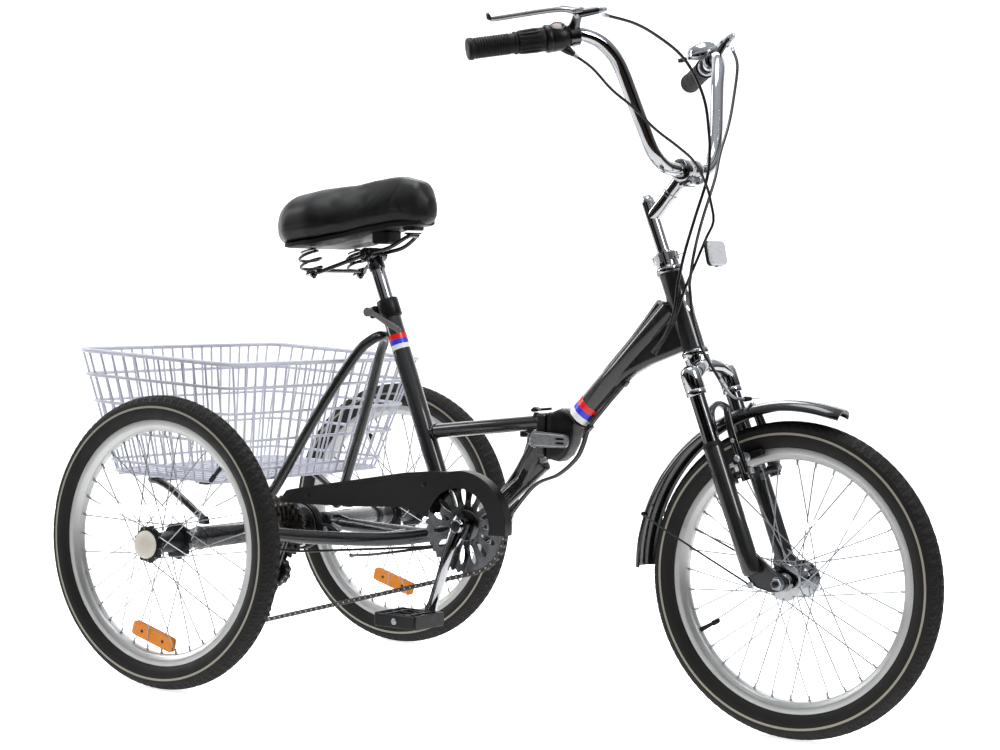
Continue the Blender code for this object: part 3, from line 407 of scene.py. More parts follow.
def powder_coat():
    """White powder coat on the basket's wire: slightly blue, with a soft orange-peel skin."""
    base = (*colours().wire, 1)
    look, tree, shader = blank("White powder coat", base, 0.36)
    if tree:
        peel = grain(tree, 1.6, 2)
        relief(tree, shader, peel, "Fac", 0.05, 0.4)
        mix = tint(tree, grain(tree, 40, 3), "Fac", base, tuple(c * 0.86 for c in base[:3]) + (1,))
        tree.links.new(mix.outputs[2], shader.inputs["Base Color"])
    return look


def prism(name, base, rough, through):
    """Reflector polycarbonate, moulded over rows of tiny prisms that break up the light."""
    look, tree, shader = blank(name, base, rough, Coat_Weight=0.15, Coat_Roughness=0.1, IOR=1.4)
    if tree:
        place = add(tree, "ShaderNodeTexCoord")
        cells = add(tree, "ShaderNodeTexVoronoi", {"Scale": 1 / (2.4 * MM),
            "distance": "CHEBYCHEV"}, {"Vector": (place, "Object")})
        relief(tree, shader, cells, "Distance", 0.6, 0.7)
        dark = tuple(c * through for c in base[:3]) + (1,)
        mix = tint(tree, cells, "Distance", base, dark)
        tree.links.new(mix.outputs[2], shader.inputs["Base Color"])
    return look


def clear_prism():
    return prism("Clear prismatic polycarbonate", colour("dfe1e4"), 0.16, 0.55)


def amber_prism():
    return prism("Amber prismatic polycarbonate", (*colours().marker, 1), 0.25, 0.55)


def cap_plastic():
    """Cream polypropylene of the hub caps: waxy, letting a little light in."""
    look, tree, shader = blank("Cream polypropylene", colour("cbc3b8"), 0.42, Subsurface_Weight=0.12)
    if tree:
        mix = tint(tree, grain(tree, 9, 3), "Fac", colour("d2cabf"), colour("c0b8ac"))
        tree.links.new(mix.outputs[2], shader.inputs["Base Color"])
    return look


def transfer(name, base):
    """A printed band under clear film: flat colour with a slight gloss."""
    look, tree, shader = blank(name, base, 0.24)
    if tree:
        tree.links.new(ramp(tree, grain(tree, 8, 2), "Fac", 0.3, 0.7, 0.18, 0.32).outputs[0],
            shader.inputs["Roughness"])
    return look


def first_band():
    return transfer("Red band transfer", (*colours().band_top, 1))


def second_band():
    return transfer("Blue band transfer", (*colours().band_middle, 1))


def third_band():
    return transfer("White band transfer", colour("f2f2f0"))


def dial_window():
    """Smoked acrylic over the gear dial."""
    look, tree, shader = blank("Smoked acrylic window", colour("0b0a0a"), 0.06, IOR=1.49)
    if tree:
        tree.links.new(ramp(tree, grain(tree, 6, 2), "Fac", 0.3, 0.7, 0.04, 0.12).outputs[0],
            shader.inputs["Roughness"])
    return look


def dial_mark():
    return transfer("Orange dial ink", colour("e08a20"))


# ---------------------------------------------------------------- mesh making


def curve_through(points, step):
    """A smooth curve through the points, as points about a step apart."""
    ends = [points[0] * 2 - points[1], *points, points[-1] * 2 - points[-2]]
    made = []
    for a, b, c, d in zip(ends, ends[1:], ends[2:], ends[3:]):
        count = max(1, round((c - b).length / step))
        for i in range(count):
            t = i / count
            made.append(
                0.5 * (2 * b + (c - a) * t + (2 * a - 5 * b + 4 * c - d) * t * t
                    + (3 * b - a - 3 * c + d) * t**3)
            )
    return made + [points[-1].copy()]


def square_to(axis):
    """Two directions square to an axis and to each other."""
    axis = axis.normalized()
    first = (Z if abs(axis.z) < 0.9 else X).cross(axis).normalized()
    return first, axis.cross(first)


def arc(centre, radius, start, end, count):
    """Points of a flat arc, its angles in degrees."""
    angles = [math.radians(start + (end - start) * i / count) for i in range(count + 1)]
    return [(centre[0] + radius * math.cos(a), centre[1] + radius * math.sin(a)) for a in angles]


def rounded(points, radius, count=4):
    """A flat outline with its corners rounded off."""
    made = []
    corners = [Vector(p) for p in points]
    for before, here, after in zip([corners[-1], *corners], corners, [*corners[1:], corners[0]]):
        back, on = before - here, after - here
        cut = min(radius, back.length * 0.45, on.length * 0.45)
        a, b = here + back.normalized() * cut, here + on.normalized() * cut
        for i in range(count + 1):
            t = i / count
            made.append(tuple(a * (1 - t) ** 2 + here * 2 * t * (1 - t) + b * t * t))
    return made


def inset(outline, by):
    """A flat outline moved inwards, for a bevelled edge."""
    made = []
    turn = sum(a[0] * b[1] - a[1] * b[0] for a, b in zip(outline, [*outline[1:], outline[0]]))
    sign = 1 if turn > 0 else -1
    for before, here, after in zip([outline[-1], *outline], outline, [*outline[1:], outline[0]]):
        along = Vector((after[0] - before[0], after[1] - before[1]))
        if along.length < 1e-9:
            made.append(here)
            continue
        along.normalize()
        made.append((here[0] - along.y * by * sign, here[1] + along.x * by * sign))
    return made


class Piece:
    """Gathers the surfaces of one visible piece, then becomes an object that rides on a body."""

    def __init__(self, name, body, *looks):
        self.name, self.body, self.looks = name, body, looks
        self.mesh = bmesh.new()
        self.look = 0

    def use(self, look):
        self.look = look
        return self

    def face(self, corners):
        if len(set(corners)) < 3:
            return
        made = self.mesh.faces.new(corners)
        made.material_index = self.look

    def skin(self, rings, loop=False, caps=True, marked=None):
        """Joins rows of points into one surface. marked gives some of the strips another look."""
        rows = [[self.mesh.verts.new(p) for p in ring] for ring in rings]
        pairs = list(zip(rows, rows[1:])) + ([(rows[-1], rows[0])] if loop else [])
        count = len(rows[0])
        own = self.look
        for first, second in pairs:
            for i in range(count):
                j = (i + 1) % count
                self.look = marked.get(i, own) if marked else own
                self.face((first[i], first[j], second[j], second[i]))
        self.look = own
        if caps and not loop:
            self.face(tuple(reversed(rows[0])))
            self.face(tuple(rows[-1]))
        return self

    def turn(self, profile, base, axis, count=40, loop=False, start=0.0, marked=None):
        """Spins a profile of (along, radius) about an axis. A closed profile has loop set."""
        axis = axis.normalized()
        u, v = square_to(axis)
        angles = [start + 2 * math.pi * i / count for i in range(count)]
        spokes = [u * math.cos(a) + v * math.sin(a) for a in angles]
        rings = [[base + axis * h + s * r for s in spokes] for h, r in profile]
        if not marked:
            return self.skin(rings, loop)
        own = self.look
        rows = [[self.mesh.verts.new(p) for p in ring] for ring in rings]
        pairs = list(zip(rows, rows[1:])) + ([(rows[-1], rows[0])] if loop else [])
        for k, (first, second) in enumerate(pairs):
            self.look = marked.get(k, own)
            for i in range(count):
                j = (i + 1) % count
                self.face((first[i], first[j], second[j], second[i]))
        self.look = own
        return self

    def tube(self, points, radius, count=14, flat=1.0, upright=None, loop=False):
        """A round or flattened bar along a path. radius is a number or one for each point."""
        radii = radius if isinstance(radius, (list, tuple)) else [radius] * len(points)
        rings = []
        last = upright or square_to(points[1] - points[0])[0]
        for i, point in enumerate(points):
            if loop:
                along = points[(i + 1) % len(points)] - points[i - 1]
            else:
                along = points[min(i + 1, len(points) - 1)] - points[max(i - 1, 0)]
            along.normalize()
            u = (last - along * last.dot(along)).normalized()
            last = upright or u
            v = along.cross(u)
            angles = [2 * math.pi * k / count for k in range(count)]
            rings.append([point + (u * math.cos(a) * flat + v * math.sin(a)) * radii[i] for a in angles])
        return self.skin(rings, loop)

    def bar(self, start, end, radius, count=16, edge=0.0006):
        """A straight round bar with softened ends."""
        length = (end - start).length
        edge = min(edge, length / 3, radius / 2)
        profile = [(0, radius - edge), (edge, radius), (length - edge, radius), (length, radius - edge)]
        return self.turn(profile, start, end - start, count)

    def slab(self, outline, base, u, v, low, high, edge=0.0008):
        """A flat outline given thickness along u x v, with softened edges."""
        w = u.cross(v)
        edge = min(edge, (high - low) / 3)
        small = inset(outline, edge)
        rows = [(small, low), (outline, low + edge), (outline, high - edge), (small, high)]
        return self.skin([[base + u * p[0] + v * p[1] + w * h for p in ring] for ring, h in rows])

    def pierced(self, loops, base, u, v, low, high):
        """A flat plate with holes: the first loop is its edge, and the others are cut through."""
        w = u.cross(v)
        flat = [p for ring in loops for p in ring]
        lower = [self.mesh.verts.new(base + u * p[0] + v * p[1] + w * low) for p in flat]
        upper = [self.mesh.verts.new(base + u * p[0] + v * p[1] + w * high) for p in flat]
        for a, b, c in tessellate_polygon([[Vector((*p, 0)) for p in ring] for ring in loops]):
            self.face((upper[a], upper[b], upper[c]))
            self.face((lower[c], lower[b], lower[a]))
        first = 0
        for ring in loops:
            count = len(ring)
            for i in range(count):
                a, b = first + i, first + (i + 1) % count
                self.face((lower[a], lower[b], upper[b], upper[a]))
            first += count
        return self

    def bolt(self, place, axis, radius, height, sides=6):
        """A bolt head or nut with a chamfered top."""
        profile = [(0, radius), (height * 0.75, radius), (height, radius * 0.82)]
        return self.turn(profile, place, axis, sides)

    def ball(self, place, radius, count=16, stretch=(1, 1, 1)):
        """A rounded lump with flat poles, stretched along X, Y and Z."""
        rings = []
        for i in range(1, count // 2):
            a = math.pi * i / (count // 2)
            r, h = math.sin(a) * radius, math.cos(a) * radius
            angles = [2 * math.pi * k / count for k in range(count)]
            rings.append([Vector((math.cos(t) * r, math.sin(t) * r, h)) for t in angles])
        scaled = [[place + Vector([a * b for a, b in zip(p, stretch)]) for p in ring] for ring in rings]
        return self.skin(scaled)

    def done(self, slot, replaces=(), sharp=38, soft=0, ride=True):
        """Makes the object: outward faces, smooth shading broken at real edges, finishes and its body."""
        bmesh.ops.remove_doubles(self.mesh, verts=self.mesh.verts, dist=1e-6)
        bmesh.ops.recalc_face_normals(self.mesh, faces=self.mesh.faces)
        for made in self.mesh.faces:
            made.smooth = True
        for side in self.mesh.edges:
            if len(side.link_faces) == 2 and side.calc_face_angle() > math.radians(sharp):
                side.smooth = False
        data = bpy.data.meshes.new(self.name)
        self.mesh.to_mesh(data)
        self.mesh.free()
        for look in self.looks:
            data.materials.append(look())
        thing = bpy.data.objects.new(self.name, data)
        bpy.context.scene.collection.objects.link(thing)
        if soft:
            smooth = thing.modifiers.new("Smooth", "SUBSURF")
            smooth.levels = smooth.render_levels = soft
        if ride:
            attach(thing, self.body)
        if replaces:
            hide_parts(*replaces)
        return thing


# ---------------------------------------------------------------- wheels

RIM_R = 0.2095
RIM_HALF = 0.0135
TYRE_HALF = 0.0225
SECTION_R = WHEEL_R - TYRE_HALF
TREAD_BLOCKS = 96


def around(centre, angle, radius, y=0.0):
    """A point on a wheel's circle, its angle in radians from ahead and upwards."""
    return centre + Vector((math.cos(angle) * radius, y, math.sin(angle) * radius))


def groove(turn, across):
    """How deep the tread is cut, 0 to 1: slanting lines in arrows, and two lines round the tyre."""
    slant = (turn * TREAD_BLOCKS + 2.6 * abs(across)) % 1.0
    fine = (turn * TREAD_BLOCKS - 2.6 * abs(across)) % 1.0
    round_line = min(abs(abs(across) - 0.36), abs(abs(across) - 0.78)) < 0.055
    return 1.0 if slant < 0.3 or round_line or (abs(across) > 0.5 and fine < 0.22) else 0.0


def make_tyre(name, centre, body):
    """Tyre with a cut tread, moulded ribs and the bonded reflective line on each wall."""
    tyre = Piece(name + "_tyre_body", body, tyre_rubber, reflex_strip)
    wall = [(0.0148, 0.2062), (0.0172, 0.2098), (0.0196, 0.213), (0.0215, 0.218), (0.0223, 0.2222)]
    wall += [(0.0225, 0.2262), (0.0224, 0.2298), (0.0219, 0.2334), (0.0208, 0.2368)]
    strip = 5
    lanes = 18
    shoulder = math.radians(66)
    tread = []
    for i in range(lanes + 1):
        a = shoulder * (1 - 2 * i / lanes)
        tread.append((math.sin(a) * 0.0205 / math.sin(shoulder),
            SECTION_R + math.cos(a * 0.97) * TYRE_HALF, a / shoulder))
    inner = [(y, r, None) for y, r in wall]
    profile = inner + tread + [(-y, r, None) for y, r, _ in inner[::-1]]
    steps = TREAD_BLOCKS * 9
    rings = []
    for k in range(steps):
        turn = k / steps
        ring = []
        for y, r, across in profile:
            depth = groove(turn, across) * sizes().tread_depth if across is not None and abs(across) < 0.97 else 0
            ring.append(around(centre, turn * 2 * math.pi, r - depth, y))
        rings.append(ring)
    last = len(profile) - 1
    tyre.skin(rings, loop=True, marked={strip: 1, last - 1 - strip: 1})
    tyre.done("tyre", (name + "_tyre",), sharp=32)


def make_rim(name, centre, body, valve_angle):
    """Double-walled rim with braking flats, hooked edges, nipples and the valve."""
    rim = Piece(name + "_rim_hoop", body, rim_alloy, zinc, grip_rubber)
    half = [(0.0108, 0.204), (0.0113, 0.208), (0.0122, RIM_R), (0.0133, 0.209), (RIM_HALF, 0.2072)]
    half += [(0.0134, 0.1975), (0.013, 0.1962), (0.0118, 0.1945), (0.0102, 0.1915),
        (0.0078, 0.1886), (0.004, 0.1871)]
    profile = half + [(-y, r) for y, r in half[::-1]]
    rim.turn(profile, centre, Y, 180, loop=True)
    count = sizes().spokes
    rim.use(1)
    for i in range(count):
        angle = 2 * math.pi * i / count
        out = around(centre, angle, 1) - centre
        foot = centre + out * 0.1785
        profile = [(0, 0.0011), (0.0005, 0.0016), (0.006, 0.0017), (0.0066, 0.0023), (0.0092, 0.0023)]
        rim.turn(profile, foot, out, 8)
    out = around(centre, valve_angle, 1) - centre
    rim.use(2)
    stem = [(0.15, 0.003), (0.152, 0.0042), (0.163, 0.0042), (0.164, 0.003), (0.172, 0.0033),
        (0.188, 0.0042)]
    rim.turn(stem, centre, out, 14)
    rim.done("alloy", (name + "_rim",))


def lace(piece, centre, flange_y, flange_r, half_y):
    """Crossed spokes: on each side pairs lean forwards and back, and each bends into its flange hole."""
    count = sizes().spokes
    for i in range(count):
        side = 1 if i % 2 else -1
        lean = math.radians(52) * (1 if (i // 2) % 2 else -1)
        outside = 1 if (i // 2) % 2 else -1
        angle = 2 * math.pi * i / count
        hole_y = side * flange_y
        head = around(centre, angle + lean, flange_r, hole_y + 0.0032 * outside)
        elbow = around(centre, angle + lean * 0.99, flange_r + 0.0015, hole_y - 0.0022 * outside)
        tip = around(centre, angle, 0.1795, side * half_y)
        first = elbow + (tip - elbow).normalized() * 0.006
        path = [head, elbow, first, tip]
        piece.tube(path, sizes().spoke_width / 2, 6)


def make_front_hub():
    """Polished steel hub: pierced flanges, barrel, cones and lock nuts."""
    hub = Piece("front_hub_shell", "front_wheel", chrome, zinc)
    profile = [(-0.0395, 0.0062), (-0.0395, 0.0115), (-0.034, 0.0145), (-0.0326, 0.0145), (-0.0326, 0.0285)]
    profile += [(-0.032, 0.0292), (-0.03, 0.0292), (-0.0294, 0.0285), (-0.0292, 0.015),
        (-0.023, 0.0118), (0, 0.0112)]
    profile += [(-h, r) for h, r in profile[-2::-1]]
    hub.turn(profile, FRONT_AXLE, Y, 40, loop=True)
    hub.use(1)
    for sign in (-1, 1):
        hub.turn([(0, 0.0056), (0, 0.0078), (0.0045, 0.0078), (0.0045, 0.0056)],
            FRONT_AXLE + Y * sign * 0.0425 - Y * 0.00225, Y, 12, True)
    lace(hub, FRONT_AXLE, 0.031, 0.0255, 0.003)
    hub.done("alloy", ("front_hub",))


def make_rear_hub(name, sign, body):
    """Moulded rear hub: ribbed flanges, cream cap on the outside and crossed spokes."""
    centre = REAR_AXLE + Y * sign * HALF_TRACK
    hub = Piece(name + "_hub_shell", body, moulded_plastic, cap_plastic, zinc)
    profile = [(-0.0405, 0.01), (-0.0405, 0.017), (-0.0375, 0.019), (-0.037, 0.0288), (-0.0364, 0.0297)]
    profile += [(-0.0324, 0.0297), (-0.0318, 0.0288), (-0.0314, 0.02), (-0.025, 0.018), (0, 0.0172)]
    profile += [(0.025, 0.018), (0.0314, 0.02), (0.0318, 0.0288), (0.0324, 0.0297), (0.0364, 0.0297)]
    profile += [(0.037, 0.0288), (0.0378, 0.0235), (0.041, 0.0228)]
    hub.turn([(h * sign, r) for h, r in profile], centre, Y, 48)
    for k in range(9):
        angle = 2 * math.pi * k / 9
        for y in (-0.0344, 0.0344):
            hub.turn([(-0.0034, 0.0036), (0.0034, 0.0036)], around(centre, angle, 0.0282, y), Y, 12)
    hub.use(1)
    cap = [(0.0412, 0.0222), (0.0425, 0.0233), (0.0445, 0.0231), (0.048, 0.0213), (0.0515, 0.0172),
        (0.0538, 0.011), (0.0548, 0.004)]
    hub.turn([(h * sign, r) for h, r in cap], centre, Y, 48)
    hub.use(2)
    lace(hub, centre, 0.0344, 0.0262, 0.003)
    hub.done("black_plastic", (name + "_hub",))


def make_marker(name, centre, body, angle, radius, tilt):
    """Amber reflector clipped between the spokes."""
    out = (around(centre, angle, 1) - centre).normalized()
    along = Vector((-out.z, 0, out.x))
    turned = Matrix.Rotation(tilt, 3, "Y")
    out, along = turned @ out, turned @ along
    place = around(centre, angle, radius)
    marker = Piece(name + "_marker", body, amber_prism, moulded_plastic)
    outline = rounded([(-0.047, -0.0125), (0.047, -0.0125), (0.047, 0.0125), (-0.047, 0.0125)], 0.007, 5)
    facing = along.cross(out)
    marker.slab(outline, place, along, out, -0.0052, -0.0012, 0.0012)
    marker.slab(outline, place, along, out, 0.0012, 0.0052, 0.0012)
    marker.use(1)
    spine = rounded([(-0.045, -0.0105), (0.045, -0.0105), (0.045, 0.0105), (-0.045, 0.0105)], 0.006, 4)
    marker.slab(spine, place, along, out, -0.0011, 0.0011, 0.0002)
    for shift in (-0.024, 0.024):
        marker.bar(place + along * shift - facing * 0.006, place + along * shift + facing * 0.006,
            0.0028, 10)
    marker.done("clear_plastic")


# ---------------------------------------------------------------- frame


def make_wheels():
    """The front wheel and the two rear ones, with a reflector in each rear wheel."""
    rear = REAR_AXLE - Y * HALF_TRACK, REAR_AXLE + Y * HALF_TRACK
    make_tyre("front", FRONT_AXLE, "front_wheel")
    make_rim("front", FRONT_AXLE, "front_wheel", math.radians(-149.8))
    make_front_hub()
    for name, sign, centre, body, valve in (("rear_right", -1, rear[0], "drive_axle", 47.1),
            ("rear_left", 1, rear[1], "left_wheel", 118.0)):
        make_tyre(name, centre, body)
        make_rim(name, centre, body, math.radians(valve))
        make_rear_hub(name, sign, body)
    make_marker("rear_right", rear[0], "drive_axle", math.radians(-96.3), 0.161, math.radians(9))
    make_marker("rear_left", rear[1], "left_wheel", math.radians(-95.4), 0.134, math.radians(10))


def bands(piece, base, axis, radius, first, widths):
    """Three printed bands round a tube, each a thin sleeve, as looks 1, 2 and 3 of the piece."""
    for look, width in enumerate(widths, start=1):
        piece.use(look)
        r = radius + 0.00025
        ring = [(first, radius - 0.001), (first, r), (first - width, r), (first - width, radius - 0.001)]
        piece.turn(ring, base, axis, 48, loop=True)
        first -= width
    piece.use(0)


def weld(piece, place, axis, radius, bead=0.0016, count=44):
    """A bead of weld round a tube: small overlapping scales."""
    axis = axis.normalized()
    u, v = square_to(axis)
    steps = count * 2
    path = []
    sizes_here = []
    for i in range(steps):
        a = 2 * math.pi * i / steps
        path.append(place + (u * math.cos(a) + v * math.sin(a)) * radius)
        sizes_here.append(bead * (1.0 if i % 2 else 0.78))
    piece.tube(path, sizes_here, 6, loop=True)


def make_rear_frame():
    """Welded rear half: seat tube and bands, main and lower tubes, axle housings, stays, hoop."""
    tube = Piece("seat_tube_welded", "rear_frame", enamel, first_band, second_band, third_band)
    sleeve = [(-0.4, 0.0162), (-0.001, 0.0162), (0.0, 0.0156), (0.0, 0.0131), (-0.399, 0.0131)]
    tube.turn(sleeve, SEAT_TOP, SEAT_UP, 48, loop=True)
    bands(tube, SEAT_TOP, SEAT_UP, 0.0162, -0.061, (0.0095, 0.009, 0.0085))
    tube.done("painted_frame", ("seat_tube",))

    top = Piece("top_tube_welded", "rear_frame", enamel)
    start, end = at(0.318, 0, 0.4371), at(0.5395, 0, 0.4658)
    along = (end - start).normalized()
    top.turn([(-0.004, 0.0112), (0, 0.0122), ((end - start).length, 0.0122)], start, along, 40)
    weld(top, start + along * 0.001, along, 0.0126)
    weld(top, end - along * 0.001, along, 0.0126)
    top.done("painted_frame", ("top_tube",))

    down = Piece("down_tube_welded", "rear_frame", enamel)
    start, end = at(0.4445, 0, 0.3135), at(0.541, 0, 0.3985)
    along = (end - start).normalized()
    down.bar(start, end, 0.015, 40)
    rows = []
    for t in (0.0, 0.25, 0.5, 0.75, 1.0):
        middle = at(0.506, 0, 0.3677).lerp(at(0.5425, 0, 0.424), t)
        u = Vector((-0.661, 0, 0.75)).lerp(Z, t).normalized()
        tall, wide, corner = 0.0152 + 0.01 * t, 0.0152 + 0.0085 * t, 0.75 - 0.1 * t
        shape = [(1, 0.4), (corner, corner), (0.4, 1), (-0.4, 1), (-corner, corner), (-1, 0.4)]
        shape += [(-p, -q) for p, q in shape]
        rows.append([middle + u * tall * p + Y * wide * q for p, q in shape])
    down.skin(rows)
    weld(down, start + along * 0.002, along, 0.0153)
    brace = [at(0.456, 0.0, 0.333), at(0.49, 0.0, 0.378), at(0.518, 0.0, 0.426)]
    down.tube(curve_through(brace, 0.01), 0.007, 16)
    down.done("painted_frame", ("down_tube",))

    low = Piece("lower_tubes_and_housings", "rear_frame", enamel, satin_enamel)
    shell = [(-0.034, 0.0168), (-0.034, 0.0197), (-0.0325, 0.0205), (0.0325, 0.0205),
        (0.034, 0.0197), (0.034, 0.0168)]
    low.turn(shell, BRACKET, Y, 44, loop=True)
    for sign in (-1, 1):
        route = [(0.406, 0.015, 0.28), (0.33, 0.024, 0.262), (0.25, 0.055, 0.25)]
        route += [(0.12, 0.092, 0.246), (0.014, 0.104, 0.247)]
        path = curve_through([at(x, y * sign, z) for x, y, z in route], 0.012)
        low.tube(path, 0.012, 28)
        weld(low, path[-3], path[-2] - path[-3], 0.0122)
        inner, outer = REAR_AXLE + Y * sign * 0.092, REAR_AXLE + Y * sign * 0.288
        housing = [(0, 0.0102), (0, 0.0184), (0.0006, 0.019), (0.156, 0.019), (0.158, 0.0178),
            (0.18, 0.0178), (0.182, 0.019)]
        housing += [(0.1954, 0.019), (0.196, 0.0184), (0.196, 0.0102)]
        low.turn(housing, inner, Y * sign, 44, loop=True)
        weld(low, inner + Y * sign * 0.15, Y, 0.0192)
        low.use(1)
        low.turn([(0, 0.0105), (0, 0.0205), (0.004, 0.0205), (0.004, 0.0105)],
            outer - Y * sign * 0.0035, Y * sign, 44, loop=True)
        low.use(0)
        gusset = [(0.02, 0.262), (0.034, 0.264), (0.082, 0.2535), (0.078, 0.2475), (0.02, 0.252)]
        low.slab(gusset, at(0, sign * 0.099, 0), X, Z, -0.002, 0.002)
    bridge = [at(0.215, -0.064, 0.2495), at(0.222, 0, 0.2495), at(0.215, 0.064, 0.2495)]
    low.tube(curve_through(bridge, 0.01), 0.007, 18)
    low.done("painted_frame", ("rear_carrier",))

    stays = Piece("seat_stays_bent", "rear_frame", enamel)
    route = [(0.012, -0.117, 0.279), (0.045, -0.1, 0.323), (0.115, -0.068, 0.46), (0.168, -0.036, 0.56)]
    route += [(0.19, -0.02, 0.588), (0.201, 0, 0.597)]
    route += [(x, -y, z) for x, y, z in route[-2::-1]]
    stays.tube(curve_through([at(*p) for p in route], 0.009), 0.009, 26)
    stays.done("painted_frame", ("seat_stays",))

    hoop = Piece("rack_hoop_bent", "rear_frame", enamel)
    route = [(-0.026, 0.2, 0.2735), (-0.105, 0.2, 0.3215), (-0.138, 0.2, 0.3335), (-0.15, 0.185, 0.3345)]
    route += [(-0.15, 0.0, 0.3345)]
    route += [(x, -y, z) for x, y, z in route[-2::-1]]
    hoop.tube(curve_through([at(*p) for p in route], 0.008), 0.0065, 22)
    for sign in (-1, 1):
        hoop.slab([(-0.034, 0.2655), (-0.018, 0.2655), (-0.022, 0.279), (-0.032, 0.279)],
            at(0, sign * 0.2, 0), X, Z, -0.0065, 0.0065)
    hoop.done("painted_frame", ("rack_hoop",))


def make_front_frame():
    """Main beam with its gusset and bands, head tube with the badge plate."""
    beam = Piece("main_beam_welded", "front_frame", enamel, first_band, second_band, third_band)
    start, end = at(0.6085, 0, 0.4745), at(0.769, 0, 0.649)
    along = (end - start).normalized()
    length = (end - start).length
    beam.turn([(0, 0.02), (0.0008, 0.0205), (length + 0.016, 0.0205), (length + 0.02, 0.012)],
        start, along, 56)
    over = along.cross(Y)
    rows = []
    for t, up, down, half in ((0.4, 0.0195, -0.0205, 0.015), (0.52, 0.0195, -0.0235, 0.0165),
            (0.7, 0.02, -0.0385, 0.016), (0.88, 0.0235, -0.059, 0.0145),
            (1.035, 0.028, -0.076, 0.0125)):
        place = start + along * length * t
        if over.z < 0:
            up, down = -up, -down
        section = rounded([(-half, down), (half, down), (half, up), (-half, up)], 0.011, 5)
        rows.append([place + Y * y + over * h for y, h in section])
    beam.skin(rows)
    weld(beam, start + along * 0.001, along, 0.0207)
    bands(beam, start, along, 0.0205, 0.037, (0.0115, 0.0105, 0.011))
    beam.use(0)
    for where in (0.022, 0.128):
        guide = start + along * where - (over if over.z > 0 else -over) * 0.0225
        beam.turn([(-0.006, 0.003), (-0.006, 0.0048), (0.006, 0.0048), (0.006, 0.003)],
            guide - Y * 0.009, along, 14, loop=True)
        beam.slab([(-0.006, -0.004), (0.006, -0.004), (0.006, 0.004), (-0.006, 0.004)], guide,
            along, Y, -0.001, 0.004)
    beam.done("painted_frame", ("main_beam",))

    head = Piece("head_tube_turned", "front_frame", enamel, chrome, third_band)
    length = 0.148
    profile = [(0, 0.0152), (0, 0.021), (0.0008, 0.0215), (0.0085, 0.0215), (0.01, 0.019), (0.0115, 0.0185)]
    profile += [(length - h, r) for h, r in profile[::-1]]
    head.turn(profile, HEAD_LOW, STEER_UP, 56, loop=True)
    head.use(1)
    for up in (-0.0002, length - 0.0078):
        head.turn([(0, 0.015), (0, 0.0216), (0.001, 0.0222), (0.007, 0.0222), (0.008, 0.0216),
            (0.008, 0.015)], HEAD_LOW + STEER_UP * up, STEER_UP, 56, loop=True)
    rows = []
    for grow, out in ((1.0, 0.0186), (1.0, 0.0194), (0.84, 0.0197), (0.78, 0.0191), (0.3, 0.0191)):
        ring = []
        for i in range(36):
            a = 2 * math.pi * i / 36
            turn, up = math.cos(a) * 0.62 * grow, math.sin(a) * 0.0215 * grow
            facing = STEER_AHEAD * math.cos(turn) + Y * math.sin(turn)
            ring.append(HEAD_LOW + STEER_UP * (0.083 + up) + facing * out)
        rows.append(ring)
    head.skin(rows)
    head.done("painted_frame", ("head_tube",))


